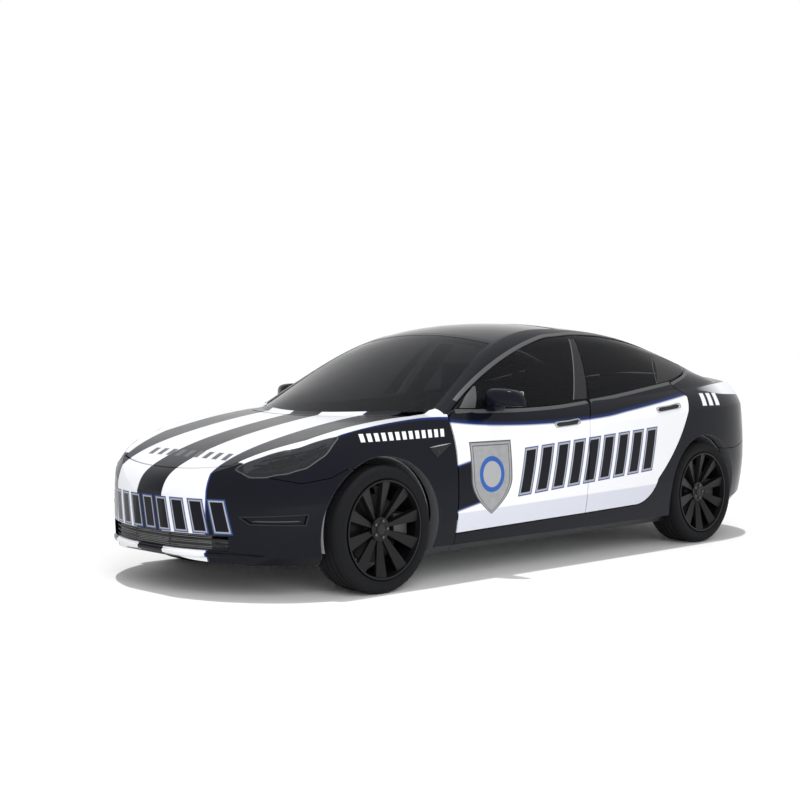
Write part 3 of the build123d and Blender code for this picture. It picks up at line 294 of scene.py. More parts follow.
# Black's paler shade, and the red lenses.
DEPTH_BLACK = tuple(c * 1.5 for c in BLACK)
RED_DARK = (0.09, 0.003, 0.004)
RED = (0.22, 0.008, 0.010)
RED_PALE = (0.34, 0.020, 0.022)
RED_BAND_Z = (0.884, 0.902)
RIBS_PER_METRE = 80.0


def sloped(x, line):
    """Height of a sloping line at x."""
    at, height, slope = line
    return (x - at) * slope + height


def from_middle(across, up):
    """Distance from a middle."""
    return (across * across + up * up).math("SQRT")


def slanted_bars(x, up, row):
    """Distance outside a row of slanted bars: x runs along the row and up is the height off its middle."""
    first, last, count, lean, half_height, fill = row
    pitch = (last - first) / count
    along = (x - up * lean - first).math("DIVIDE", pitch)
    cell = along.math("FLOOR").math("MAXIMUM", 0.0).math("MINIMUM", count - 1.0)
    across = abs(along - cell - 0.5) * abs(pitch) - abs(pitch) * fill / 2
    return across.math("MAXIMUM", abs(up) - half_height)


def outlined(distance, line_width):
    """Layers of a black shape with a grey line round it and a blue line round that."""
    return ((distance.below(line_width + EDGE_LINE, 0.002), BLUE),
            (distance.below(line_width), GREY),
            (distance.below(0.0), BLACK))


def arch_edges(x, z):
    """Layers that put the wheel arches' own faces in the liner's grey."""
    return [(from_middle(x - axle_x, z - TYRE_RADIUS).below(ARCH_RADIUS + 0.0006, 0.0004), ARCH_GREY)
            for axle_x in AXLE_X.values()]


def nose_color(tree):
    """Black with two broad white stripes, and slanted bars across the nose and the hood's front; the hood's
    bars are in a grey that paints in the sheen of light on them.
    """
    x, y, z = place_fields(tree)
    wide = abs(y)
    edge = x.curve(STRIPE_EDGE)
    nose_bars = slanted_bars(y, z - NOSE_BARS_Z, NOSE_BARS) + x.below(NOSE_BARS_BACK) * HIDDEN
    hood_bars = slanted_bars(y, x - HOOD_BARS_X, HOOD_BARS)
    upward = place_fields(tree, "Normal")[2]
    return layered(
        BLACK,
        (wide.below(edge + EDGE_LINE, 0.002), BLUE),
        (wide.below(edge), WHITE),
        (wide.below(x.curve(STRIPE_CENTRE)), BLACK),
        *outlined(nose_bars, 0.007),
        # Painted sheen: the bars on the hood are grey, as black looks under reflected light.
        (hood_bars.below(0.0, 0.004) * z.above(HOOD_LOW_Z), HOOD_BARS_SHEEN_GREY),
        (upward.below(-0.70, 0.05), UNDERSIDE),
        *arch_edges(x, z))


def fender_color(tree):
    """Black with a white band along the fender's top and a row of small white bars under it."""
    x, y, z = place_fields(tree)
    wide = abs(y)
    edge = x.curve(FENDER_BAND)
    high = z.above(BAND_LOW_Z)
    small = slanted_bars(x, z - sloped(x, FENDER_BARS_LINE), FENDER_BARS)
    return layered(
        BLACK,
        (wide.below(edge + EDGE_LINE, 0.004) * high, DEEP_BLUE),
        (wide.below(edge) * high, WHITE),
        (small.below(0.0), WHITE),
        *arch_edges(x, z))


def shoulder_color(tree):
    """Black with a white patch on the rear shoulder and three small white bars under it."""
    x, _, z = place_fields(tree)
    patch = z.above(x.curve(PATCH_LOW)) * z.below(x.curve(PATCH_HIGH)) * x.below(*PATCH_FADE)
    small = slanted_bars(x, z - SHOULDER_BARS_Z, SHOULDER_BARS)
    return layered(BLACK, (patch, WHITE), (small.below(0.0, 0.003), WHITE), *arch_edges(x, z))


def door_color(tree):
    """White below a rising edge, greyed with painted shade below the lower crease, with a dark lead-in, a
    plain shield and a row of slanted bars.
    """
    x, y, z = place_fields(tree)
    edge = x.curve(DOOR_WHITE_TOP)
    lead = abs(z - sloped(x, DOOR_LEAD_LINE)) - LEAD_HALF
    lead = lead.math("MAXIMUM", x * -1.0 + LEAD_END)
    bars = slanted_bars(x, z - sloped(x, DOOR_BARS_LINE), DOOR_BARS)
    across = abs(x - SHIELD[0])
    up = z - SHIELD[1]
    sink = (up * -1.0).math("MAXIMUM", 0.0) * (1 / SHIELD_HALF[1])
    side = across - (sink * sink * -1.0 + 1.0) * SHIELD_HALF[0]
    shield = side.math("MAXIMUM", up - SHIELD_HALF[1])
    ring = from_middle(across, up - RING_RAISE)
    outward = place_fields(tree, "Normal")[1] * y.math("SIGN")
    return layered(
        BLACK,
        (z.below(edge + 0.016, 0.011), DEEP_BLUE),
        (z.below(edge, 0.006), WHITE),
        # Painted shade: the lower door is greyed below the crease line.
        (z.below(sloped(x, DOOR_SHADE_LINE), 0.005), PAINTED_DOOR_SHADE),
        (lead.below(0.012, 0.006), DEEP_BLUE),
        (lead.below(0.0, 0.003), BLACK),
        *outlined(bars, 0.010),
        (shield.below(0.008), SHIELD_EDGE),
        (shield.below(0.0), mixed(noise(tree, 30.0), SHIELD_FIELD, SHIELD_HEART)),
        (shield.between(-0.018, -0.013), SHIELD_EDGE),
        (ring.between(*RING_RADII), SHIELD_RING),
        (ring.below(RING_RADII[0]), SHIELD_HEART),
        (outward.below(-0.40, 0.05), DOOR_CARD))


def plain_black(tree):
    """Black paint with a trace of depth."""
    x, _, z = place_fields(tree)
    return layered(BLACK, (noise(tree, 3.0), DEPTH_BLACK), *arch_edges(x, z))


def ribbed_red(tree):
    """Red lens with fine ribs and a paler band through its middle."""
    _, y, z = place_fields(tree)
    ribs = abs((y * RIBS_PER_METRE).math("FRACT") - 0.5).above(0.18, 0.15)
    return layered(RED_DARK, (ribs, RED), (z.between(*RED_BAND_Z, 0.004), RED_PALE))


# Looks: colour, roughness, grains per metre, their depth, how far the colour varies, other sockets, stretch.
GLASS = dict(Transmission_Weight=0.94, Specular_IOR_Level=0.10)
DULL = dict(Specular_IOR_Level=0.12)
SATIN = dict(Specular_IOR_Level=0.3)
PAINT = (0.20, 420.0, 0.00004, 0.0, dict(Coat_Weight=0.09, Coat_Roughness=0.05, Specular_IOR_Level=0.08))
LOOKS = {
    "nose_paint": (nose_color, *PAINT),
    "fender_paint": (fender_color, *PAINT),
    "shoulder_paint": (shoulder_color, *PAINT),
    "door_paint": (door_color, *PAINT),
    "black_paint": (plain_black, *PAINT),
    "tinted_glass": ((0.070, 0.074, 0.086), 0.03, 40.0, 0.0, 0.06, dict(GLASS, IOR=1.12)),
    "windscreen_glass": ((0.14, 0.144, 0.156), 0.03, 40.0, 0.0, 0.05, dict(GLASS, IOR=1.11)),
    "roof_glass_tint": ((0.010, 0.011, 0.014), 0.12, 40.0, 0.0, 0.08, dict(Specular_IOR_Level=0.14)),
    "tyre_rubber": ((0.0085, 0.0088, 0.0098), 0.76, 260.0, 0.0004, 0.25, DULL),
    "satin_black_alloy": ((0.005, 0.005, 0.006), 0.42, 700.0, 0.00004, 0.2, dict(SATIN, Metallic=0.25)),
    # Painted light: the liner is paler than its own grey, to make up for the shade inside the wheel arches.
    "fibre_liner_painted_paler": ((0.170, 0.172, 0.180), 0.88, 320.0, 0.0009, 0.3),
    "black_trim": ((0.012, 0.012, 0.013), 0.55, 900.0, 0.0002, 0.2, SATIN),
    "satin_trim": ((0.062, 0.063, 0.067), 0.42, 500.0, 0.00003, 0.1, SATIN),
    "pillar_cover": ((0.018, 0.0182, 0.019), 0.40, 600.0, 0.00003, 0.12, DULL),
    "satin_line": ((0.13, 0.131, 0.135), 0.40, 500.0, 0.00003, 0.1, SATIN),
    "bright_trim": ((0.42, 0.43, 0.45), 0.18, 300.0, 0.00002, 0.06, dict(Metallic=1.0)),
    "mirror_silver": ((0.62, 0.63, 0.65), 0.03, 60.0, 0.0, 0.03, dict(Metallic=1.0)),
    "cast_iron": ((0.13, 0.126, 0.122), 0.55, 380.0, 0.0003, 0.3, dict(Metallic=0.8)),
    "dip_paint": ((0.035, 0.036, 0.038), 0.6, 160.0, 0.0002, 0.25),
    "pressed_aluminium": ((0.33, 0.34, 0.35), 0.42, 220.0, 0.0002, 0.12, dict(Metallic=0.9)),
    "seat_leather": ((0.060, 0.060, 0.063), 0.50, 520.0, 0.0006, 0.25),
    "seat_piping": ((0.030, 0.030, 0.032), 0.45, 700.0, 0.0002, 0.2),
    "cabin_plastic": ((0.050, 0.050, 0.054), 0.65, 800.0, 0.0003, 0.2),
    "dash_strip": ((0.16, 0.13, 0.105), 0.45, 90.0, 0.0001, 0.35, {}, (1.0, 0.06, 1.0)),
    "red_lens": (ribbed_red, 0.10, 240.0, 0.00005, 0.0, SATIN),
    "lamp_lens": ((0.20, 0.205, 0.22), 0.03, 60.0, 0.0, 0.06, dict(GLASS, IOR=1.25)),
    "lamp_bowl": ((0.008, 0.008, 0.009), 0.34, 300.0, 0.0001, 0.3),
    "light_guide": ((0.30, 0.31, 0.33), 0.25, 200.0, 0.0001, 0.1),
    "screen_glass": ((0.008, 0.009, 0.012), 0.08, 30.0, 0.0, 0.2),
    "blank_plate": ((0.62, 0.62, 0.60), 0.45, 120.0, 0.0001, 0.06),
    "floor_pale": ((0.97, 0.97, 0.97), 0.9, 2.0, 0.0, 0.004)}
looks = {name: finish(name, *row) for name, row in LOOKS.items()}

SLOT_LOOKS = {"body_paint": "black_paint", "door_paint": "door_paint", "glass": "tinted_glass",
              "lamp": "lamp_lens", "red_lamp": "red_lens", "trim": "black_trim", "liner": "fibre_liner_painted_paler",
              "tyre": "tyre_rubber", "rim": "satin_black_alloy", "iron": "cast_iron", "steel": "dip_paint",
              "seat": "seat_leather", "cabin": "cabin_plastic", "battery": "pressed_aluminium"}
NODE_LOOKS = {"hood": "nose_paint", "front_bumper": "nose_paint", "cowl_panel": "nose_paint",
              "windscreen": "windscreen_glass", "roof_glass": "roof_glass_tint",
              "rear_glass": "roof_glass_tint", "front_grille": "black_trim"}
for side, _ in SIDES:
    NODE_LOOKS[f"fender_{side}"] = "fender_paint"
    NODE_LOOKS[f"body_side_{side}"] = "shoulder_paint"
    NODE_LOOKS[f"mirror_{side}"] = "black_paint"
node_slots = {row["node"]: row["material_slot"] for row in frame["record"]["subparts"]}
for name, obj in nodes.items():
    look = NODE_LOOKS.get(name) or SLOT_LOOKS[node_slots[name]]
    obj.data.materials.clear()
    obj.data.materials.append(looks[look])

# Camera, light and floor.
scene = bpy.context.scene
scene.view_settings.view_transform = "Standard"


def placed(name, data):
    """New object in the scene."""
    obj = bpy.data.objects.new(name, data)
    scene.collection.objects.link(obj)
    return obj


camera = placed("camera", bpy.data.cameras.new("camera"))
camera.data.sensor_width = SENSOR
camera.data.lens = CAMERA_LENS
camera.data.clip_end = CAMERA_REACH
camera.location = CAMERA_PLACE
level = math.cos(CAMERA_PITCH)
look_along = Vector((level * math.cos(CAMERA_YAW), level * math.sin(CAMERA_YAW), math.sin(CAMERA_PITCH)))
camera.rotation_euler = look_along.to_track_quat("-Z", "Y").to_euler()
scene.camera = camera

world = bpy.data.worlds.new("studio")
scene.world = world
world.use_nodes = True
sky = world.node_tree
background = sky.nodes["Background"]
background.inputs["Color"].default_value = (1.0, 1.0, 1.0, 1.0)
path = sky.nodes.new("ShaderNodeLightPath")
seen = Field(sky, path.outputs["Is Camera Ray"])
for ray in ("Is Glossy Ray", "Is Transmission Ray"):
    seen = seen.math("MAXIMUM", Field(sky, path.outputs[ray]))
feed(sky, background.inputs["Strength"], seen * (1.0 - WORLD_LEVEL) + WORLD_LEVEL)

sun = placed("sun", bpy.data.lights.new("sun", "SUN"))
sun.data.energy = SUN_LEVEL
sun.data.angle = SUN_ANGLE
sun.rotation_euler = (*SUN_TILT, 0.0)
fill = placed("fill", bpy.data.lights.new("fill", "AREA"))
fill.data.energy = FILL_POWER
fill.data.size = FILL_SIZE
fill.location = FILL_PLACE
fill.visible_glossy = False
fill.rotation_euler = (FILL_TARGET - fill.location).to_track_quat("-Z", "Y").to_euler()

SHARP_ANGLE = math.radians(38)


def piece(name, shape, look, body="body", closed=True):
    """New piece from a shape's vertices and faces in the part's frame, riding on a body."""
    verts, faces = shape
    mesh = bpy.data.meshes.new(name)
    mesh.from_pydata([tuple(v) for v in verts], [], faces)
    if closed:
        made = bmesh.new()
        made.from_mesh(mesh)
        bmesh.ops.recalc_face_normals(made, faces=made.faces[:])
        made.to_mesh(mesh)
        made.free()
    mesh.shade_smooth()
    mesh.set_sharp_from_angle(angle=SHARP_ANGLE)
    mesh.materials.append(looks[look])
    obj = placed(name, mesh)
    if body:
        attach(obj, body)
    return obj


half = FLOOR_SIZE / 2
floor_shape = ([(-half, -half, 0), (half, -half, 0), (half, half, 0), (-half, half, 0)], [(0, 1, 2, 3)])
floor = piece("floor", floor_shape, "floor_pale", None, False)


def joined(*shapes):
    """One shape out of several."""
    verts = []
    faces = []
    for more_verts, more_faces in shapes:
        base = len(verts)
        verts += [Vector(v) for v in more_verts]
        faces += [tuple(base + i for i in face) for face in more_faces]
    return verts, faces


def sided(point, sign):
    """The point itself for the left side, or its mirror image for the right."""
    x, y, z = point
    return Vector((x, y * sign, z))


def mirrored(shape, sign):
    """The shape itself for the left side, or its mirror image for the right."""
    verts, faces = shape
    return [sided(v, sign) for v in verts], [tuple(face)[::sign] for face in faces]


def rounded_block(size, bevel, place, turn=Matrix.Identity(4), segments=3):
    """Box with rounded edges about a place."""
    made = bmesh.new()
    bmesh.ops.create_cube(made, size=1.0)
    for vert in made.verts:
        vert.co = Vector(c * s for c, s in zip(vert.co, size))
    bmesh.ops.bevel(made, geom=made.edges[:], offset=bevel, segments=segments, affect="EDGES", profile=0.5)
    made.verts.index_update()
    matrix = Matrix.Translation(place) @ turn
    shape = ([matrix @ v.co for v in made.verts], [tuple(v.index for v in f.verts) for f in made.faces])
    made.free()
    return shape


def ring_faces(rows, count, loop=False, closed=True):
    """Faces between rows of count vertices; loop joins the last row to the first, closed each row's ends."""
    faces = []
    for i in range(rows if loop else rows - 1):
        j = (i + 1) % rows
        for k in range(count if closed else count - 1):
            m = (k + 1) % count
            faces.append((i * count + k, i * count + m, j * count + m, j * count + k))
    return faces


def bar_faces(rows, count):
    """Faces of a bar with rows of count vertices round it, closed at both ends."""
    last = (rows - 1) * count
    return ring_faces(rows, count) + [tuple(range(count)), tuple(range(last, last + count))]


def turned(profile, centre, axis, segments, ring=False):
    """Surface turned about an axis through centre, from (radius, distance along the axis) points."""
    matrix = Matrix.Translation(centre) @ Vector(axis).to_track_quat("Z", "Y").to_matrix().to_4x4()
    verts = []
    for i in range(segments):
        angle = 2 * math.pi * i / segments
        verts += [matrix @ Vector((r * math.cos(angle), r * math.sin(angle), h)) for r, h in profile]
    return verts, ring_faces(segments, len(profile), True, ring)


def tube(points, radius, sides=10):
    """Round bar along points, closed at both ends."""
    points = [Vector(p) for p in points]
    verts = []
    across = None
    for i, at in enumerate(points):
        ahead = (points[min(i + 1, len(points) - 1)] - points[max(i - 1, 0)]).normalized()
        if across is None:
            across = ahead.orthogonal().normalized()
        across = (across - ahead * across.dot(ahead)).normalized()
        other = ahead.cross(across)
        for k in range(sides):
            angle = 2 * math.pi * k / sides
            verts.append(at + (across * math.cos(angle) + other * math.sin(angle)) * radius)
    return verts, bar_faces(len(points), sides)


def skin_tree(*names):
    """Search tree over the meshes of some nodes."""
    verts = []
    faces = []
    for name in names:
        mesh = nodes[name].data
        base = len(verts)
        verts += [v.co.copy() for v in mesh.vertices]
        faces += [tuple(base + i for i in p.vertices) for p in mesh.polygons]
    return BVHTree.FromPolygons(verts, faces)


def meet(tree, start, along):
    """Place and outward normal where a skin is met from start, or nearest to it."""
    start = Vector(start)
    along = Vector(along)
    at, normal, _, _ = tree.ray_cast(start, along)
    if at is None:
        at, normal, _, _ = tree.find_nearest(start + along * 0.5)
    return at, normal if normal.dot(along) < 0 else -normal


def side_hit(tree, x, z, sign):
    """Place and normal where the skin is met from the side at (x, z)."""
    return meet(tree, (x, sign * 1.3, z), (0, -sign, 0))


def smooth_path(points, steps):
    """Points along a smooth line through the given ones."""
    ends = [points[0]] + list(points) + [points[-1]]
    out = []
    for a, b, c, d in zip(ends, ends[1:], ends[2:], ends[3:]):
        for i in range(steps):
            t = i / steps
            out.append(tuple(0.5 * (2 * q + (r - p) * t + (2 * p - 5 * q + 4 * r - s) * t * t
                                    + (3 * q - p - 3 * r + s) * t ** 3) for p, q, r, s in zip(a, b, c, d)))
    return out + [tuple(points[-1])]


def arc(first, via, last, count=14):
    """Points along the circle's arc from first through via to last."""
    a, b, c = (complex(*p) for p in (first, via, last))
    ratio = (c - a) / (b - a)
    middle = a + (b - a) * (ratio - abs(ratio) ** 2) / (2j * ratio.imag)
    sweep = cmath.phase((c - middle) / (a - middle))
    points = [middle + (a - middle) * cmath.exp(1j * sweep * i / count) for i in range(count + 1)]
    return [(p.real, p.imag) for p in points]


def moved_out(points, distance):
    """A line of (x, z) points moved to its right-hand side."""
    out = []
    for i, (x, z) in enumerate(points):
        x0, z0 = points[max(i - 1, 0)]
        x1, z1 = points[min(i + 1, len(points) - 1)]
        length = math.hypot(x1 - x0, z1 - z0)
        out.append((x + (z1 - z0) / length * distance, z - (x1 - x0) / length * distance))
    return out


# Section of a ribbon between its two sunk edges, as shares of its width and height.
RIBBON_CROWN = ((-0.46, 0.7), (-0.25, 1.0), (0.25, 1.0), (0.46, 0.7))
# Share of its width that a tapered ribbon has at its ends.
TAPER_END = 0.25


def ribbon(hits, width, height, sink=0.004, taper=0.0, loop=False):
    """Crowned strip along (place, normal) hits, narrowing towards its two ends over the taper's share."""
    across = [(-0.5, -sink)] + [(u, height * share) for u, share in RIBBON_CROWN] + [(0.5, -sink)]
    verts = []
    total = len(hits)
    for i, (at, normal) in enumerate(hits):
        ahead = hits[(i + 1) % total if loop else min(i + 1, total - 1)][0]
        behind = hits[i - 1 if loop else max(i - 1, 0)][0]
        sideways = normal.cross(ahead - behind).normalized()
        t = i / (total - 1)
        narrow = min(1.0, TAPER_END + (1 - TAPER_END) * min(t, 1 - t) / taper) if taper else 1.0
        verts += [at + sideways * (u * width * narrow) + normal * h for u, h in across]
    if loop:
        return verts, ring_faces(total, len(across), True)
    return verts, bar_faces(total, len(across))


def side_ribbon(points, tree, sign, width, height, steps=8, **more):
    """Ribbon along (x, z) points on a side skin."""
    hits = [side_hit(tree, x, z, sign) for x, z in smooth_path(points, steps)]
    return ribbon(hits, width, height, **more)


def loop_points(corners, steps):
    """Points along the straight sides of a closed outline."""
    out = []
    for a, b in zip(corners, corners[1:] + corners[:1]):
        out += [tuple(p + (q - p) * i / steps for p, q in zip(a, b)) for i in range(steps)]
    return out


COVER_LEVELS = (0.0012, -0.002)


def side_cover(first, second, tree, sign, columns=10):
    """Thin cover on a side skin between two lines of (x, z) points of equal length."""
    lines = list(zip(smooth_path(first, 5), smooth_path(second, 5)))
    rows = len(lines)
    wide = columns + 1
    verts = []
    for level_up in COVER_LEVELS:
        for a, b in lines:
            for j in range(wide):
                x, z = (p + (q - p) * j / columns for p, q in zip(a, b))
                at, normal = side_hit(tree, x, z, sign)
                verts.append(at + normal * level_up)
    under = rows * wide
    top = ring_faces(rows, wide, closed=False)
    faces = top + [tuple(under + i for i in face[::-1]) for face in top]
    rim = list(range(wide)) + [i * wide + columns for i in range(1, rows)]
    rim += [(rows - 1) * wide + j for j in range(columns - 1, -1, -1)]
    rim += [i * wide for i in range(rows - 2, 0, -1)]
    faces += [(a, b, under + b, under + a) for a, b in zip(rim, rim[1:] + rim[:1])]
    return verts, faces


# Tyres: a turned carcass with grooves round the tread.
TREAD_GROOVES = (-0.056, -0.019, 0.019, 0.056)
GROOVE_HALF = 0.0045
GROOVE_DEPTH = 0.007
TYRE_SEGMENTS = 120


def tyre_profile():
    """Section of the tyre as (radius, y), from the inner bead round the tread to the outer bead."""
    wall = [(BEAD_RADIUS, 0.098), (0.266, 0.107), (0.2685, 0.1105), (0.2715, 0.1105), (0.274, 0.1120),
            (0.284, 0.1155), (0.296, TYRE_HALF), (0.306, 0.1163), (0.315, 0.1130), (0.323, 0.1065),
            (0.3285, 0.098), (0.3318, 0.088)]
    tread = []
    for y in sorted(TREAD_GROOVES, reverse=True):
        crown = TYRE_RADIUS - 0.55 * y * y
        tread += [(crown, y + GROOVE_HALF), (crown - GROOVE_DEPTH, y + GROOVE_HALF * 0.6),
                  (crown - GROOVE_DEPTH, y - GROOVE_HALF * 0.6), (crown, y - GROOVE_HALF)]
    return wall + tread + [(r, -y) for r, y in wall[::-1]]


# Wheel dress: hub cap, wheel nuts and a valve, as (radius, distance out of the hub's face).
CAP = [(0.0, 0.0085), (0.012, 0.0082), (0.024, 0.0068), (0.0275, 0.0045), (0.029, -0.004)]
NUT = [(0.0, 0.009), (0.005, 0.009), (0.0085, 0.0065), (0.0088, -0.010)]
NUT_CIRCLE = 0.0445
NUTS = 5
VALVE_RADIUS = 0.236
VALVE_OUT = 0.070
VALVE_BAR = 0.004

for end, sign, corner in CORNERS:
    body = f"wheel_{corner}"
    centre = Vector((AXLE_X[end], sign * HALF_TRACK, TYRE_RADIUS))
    out = Vector((0, sign, 0))
    carcass = turned(tyre_profile(), centre, out, TYRE_SEGMENTS)
    tyre = piece(f"tyre_dressed_{corner}", carcass, "tyre_rubber", body)
    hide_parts(f"tyre_{corner}")
    face = centre + out * HUB_FACE
    nuts = []
    for i in range(NUTS):
        angle = 2 * math.pi * (i + 0.5) / NUTS
        place = face + Vector((math.cos(angle), 0, math.sin(angle))) * NUT_CIRCLE
        nuts.append(turned(NUT, place, out, 6))
    piece(f"wheel_nuts_{corner}", joined(*nuts), "cast_iron", body)
    piece(f"hub_cap_{corner}", turned(CAP, face, out, 32), "black_trim", body)
    stem = centre + UP * VALVE_RADIUS + out * VALVE_OUT
    valve = tube([stem + UP * 0.012, stem, stem + out * 0.020 - UP * 0.010], VALVE_BAR)
    piece(f"valve_{corner}", valve, "tyre_rubber", body)

# Side windows: rails round them, a pillar cover, a mirror cover and a rear quarter cover.
PILLAR_FRONT = [(-0.096, 0.968), (-0.158, 1.065), (-0.216, 1.157), (-0.276, 1.250), (-0.328, 1.334)]
PILLAR_REAR = [(-0.223, 0.974), (-0.273, 1.071), (-0.318, 1.163), (-0.362, 1.250), (-0.403, 1.336)]
SAIL_REAR = [(0.766, 0.941), (0.745, 0.974), (0.724, 1.007), (0.703, 1.040), (0.690, 1.060)]
SAIL_FRONT = [(0.886, 0.944), (0.838, 0.976), (0.790, 1.008), (0.736, 1.040), (0.704, 1.060)]
QUARTER_LOW = [(-0.988, 1.052), (-1.120, 1.068), (-1.240, 1.089), (-1.340, 1.112), (-1.430, 1.138),
               (-1.500, 1.158)]
QUARTER_HIGH = [(-1.172, 1.251), (-1.245, 1.238), (-1.320, 1.222), (-1.400, 1.200), (-1.465, 1.180),
                (-1.510, 1.164)]
DIVIDER = [QUARTER_LOW[0], (-1.043, 1.150), QUARTER_HIGH[0]]
# Covers on the panes: name, door, the cover's two edges and its look.
COVERS = (("pillar_cover", "front", PILLAR_FRONT, PILLAR_REAR, "pillar_cover"),
          ("mirror_sail", "front", SAIL_REAR, SAIL_FRONT, "satin_trim"),
          ("quarter_cover", "rear", QUARTER_LOW, QUARTER_HIGH, "pillar_cover"))
# Lines on the panes: name, door, points, width and look.
PANE_LINES = (("pillar_line", "front", PILLAR_FRONT, 0.006, "satin_line"),
              ("quarter_line", "rear", DIVIDER, 0.005, "satin_trim"))
# Widths and heights of the strips.
BELT_STRIP = (0.024, 0.003)
BELT_DROP = 0.003
RAIL_STRIP = (0.028, 0.002)
TAIL_STRIP = (0.022, 0.002)
PANE_LINE_HEIGHT = 0.002
for end, sign, corner in CORNERS:
    door_skin = skin_tree(f"door_{corner}", f"door_glass_{corner}")
    belt = [(x, z - BELT_DROP) for x, z in BELT[end]]
    strip = side_ribbon(belt, door_skin, sign, *BELT_STRIP)
    piece(f"belt_trim_{corner}", strip, "satin_trim", f"door_{corner}")
for side, sign in SIDES:
    body_skin = skin_tree(f"body_side_{side}")
    top_line = arc(*WINDOW_TOP_FRONT) + WINDOW_TOP_MIDDLE + arc(*WINDOW_TOP_REAR)
    rail = side_ribbon(moved_out(top_line, RAIL_OUT)[1:], body_skin, sign, *RAIL_STRIP, steps=2)
    tail = side_ribbon(moved_out(WINDOW_TAIL, RAIL_OUT), body_skin, sign, *TAIL_STRIP)
    piece(f"window_rail_{side}", joined(rail, tail), "satin_trim")
    panes = {end: skin_tree(f"door_glass_{end}_{side}") for end in ENDS}
    for name, end, first, second, look in COVERS:
        cover = side_cover(first, second, panes[end], sign)
        piece(f"{name}_{side}", cover, look, f"door_{end}_{side}")
    for name, end, line, width, look in PANE_LINES:
        strip = side_ribbon(line, panes[end], sign, width, PANE_LINE_HEIGHT)
        piece(f"{name}_{side}", strip, look, f"door_{end}_{side}")

# Door handles: a dark flush blade with a bright edge round it.
HANDLES = {"front": [(0.136, 0.828), (0.020, 0.834), (-0.064, 0.842)],
           "rear": [(-0.868, 0.888), (-0.990, 0.898), (-1.100, 0.910)]}
HANDLE_HALF = 0.014
HANDLE_END = 0.014
HANDLE_HEIGHT = 0.004
BRIGHT_EDGE = (0.007, 0.005)
for end, sign, corner in CORNERS:
    body = f"door_{corner}"
    door_skin = skin_tree(body)
    line = HANDLES[end]
    blade = side_ribbon(line, door_skin, sign, 2 * HANDLE_HALF, HANDLE_HEIGHT, taper=0.15)
    piece(f"handle_{corner}", blade, "pillar_cover", body)
    low = [(x, z - HANDLE_HALF) for x, z in line]
    high = [(x, z + HANDLE_HALF) for x, z in line]
    rear_end = (line[-1][0] - HANDLE_END, line[-1][1])
    front_end = (line[0][0] + HANDLE_END, line[0][1])
    edge = low + [rear_end] + high[::-1] + [front_end] + low[:1]
    bright = side_ribbon(edge, door_skin, sign, *BRIGHT_EDGE)
    piece(f"handle_edge_{corner}", bright, "bright_trim", body)

# Mirrors: a rounded shell on a foot, with a silvered glass behind. Blocks are size, bevel and place.
MIRROR_Y = (0.852, 1.069)
MIRROR_FRONT_X = 0.715
MIRROR_BACK_X = 0.588
MIRROR_Z = (0.950, 1.054)
MIRROR_SWEEP = 0.074
MIRROR_DROP = 0.022
MIRROR_FOOT = ((0.086, 0.096, 0.050), 0.018, (0.652, 0.884, 0.948))
MIRROR_GLASS = ((0.005, 0.150, 0.068), 0.0024, (0.5885, 0.962, 0.999))


def squared(value, power):
    """A sine or cosine made fuller by a power below 1."""
    return math.copysign(abs(value) ** power, value)


def mirror_shell(rows=28, around=36):
    """Left mirror's shell: rounded sections from the door outwards, lower and slimmer towards the tip."""
    verts = []
    for i in range(rows + 1):
        t = i / rows
        size = max(0.02, (1 - abs(2 * t - 1) ** (12 if t < 0.5 else 4)) ** 0.5)
        front = MIRROR_FRONT_X - MIRROR_SWEEP * max(0.0, (t - 0.30) / 0.70) ** 1.5
        half_x = (front - MIRROR_BACK_X) / 2
        height = (MIRROR_Z[1] - MIRROR_DROP * t * t - MIRROR_Z[0]) * size
        y = MIRROR_Y[0] + (MIRROR_Y[1] - MIRROR_Y[0]) * t
        for k in range(around):
            angle = 2 * math.pi * k / around
            c, s = math.cos(angle), math.sin(angle)
            x = squared(c, 0.80 if c > 0 else 0.45) * half_x * (0.4 + 0.6 * size)
            z = MIRROR_Z[0] + height * (0.5 + 0.5 * squared(s, 0.60 if s > 0 else 0.35))
            verts.append(((front + MIRROR_BACK_X) / 2 + x, y, z))
    return verts, bar_faces(rows + 1, around)


for side, sign in SIDES:
    body = f"door_front_{side}"
    housing = joined(mirror_shell(), rounded_block(*MIRROR_FOOT, segments=4))
    mirror = piece(f"mirror_shell_{side}", mirrored(housing, sign), "black_paint", body)
    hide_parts(f"mirror_{side}")
    silver = mirrored(rounded_block(*MIRROR_GLASS), sign)
    piece(f"mirror_glass_{side}", silver, "mirror_silver", body)

# Side markers on the fenders: a shallow dark wedge with a bright upper edge and a lens.
MARKER = [(1.178, 0.737), (1.017, 0.754), (1.133, 0.687)]
MARKER_EDGE = [(1.178, 0.741), (1.100, 0.750), (1.017, 0.758)]
MARKER_LENS = [(1.128, 0.722), (1.103, 0.725), (1.121, 0.706)]
MARKER_HEIGHT = 0.004
MARKER_LENS_HEIGHT = 0.0065


def raised_plate(corners, tree, sign, height, steps=10):
    """Shallow crowned plate on a side skin inside an outline of (x, z) corners."""
    outline = loop_points(corners, steps)
    middle = [sum(p[i] for p in corners) / len(corners) for i in (0, 1)]
    levels = ((1.0, -0.003), (0.98, height * 0.7), (0.90, height), (0.45, height * 1.05),
              (0.0, height * 1.05))
    verts = []
    for share, up in levels:
        for point in outline if share else outline[:1]:
            x, z = (m + (p - m) * share for m, p in zip(middle, point))
            at, normal = side_hit(tree, x, z, sign)
            verts.append(at + normal * up)
    count = len(outline)
    tip = len(verts) - 1
    faces = ring_faces(len(levels) - 1, count)
    faces += [(tip - count + i, tip - count + (i + 1) % count, tip) for i in range(count)]
    faces.append(tuple(range(count)))
    return verts, faces


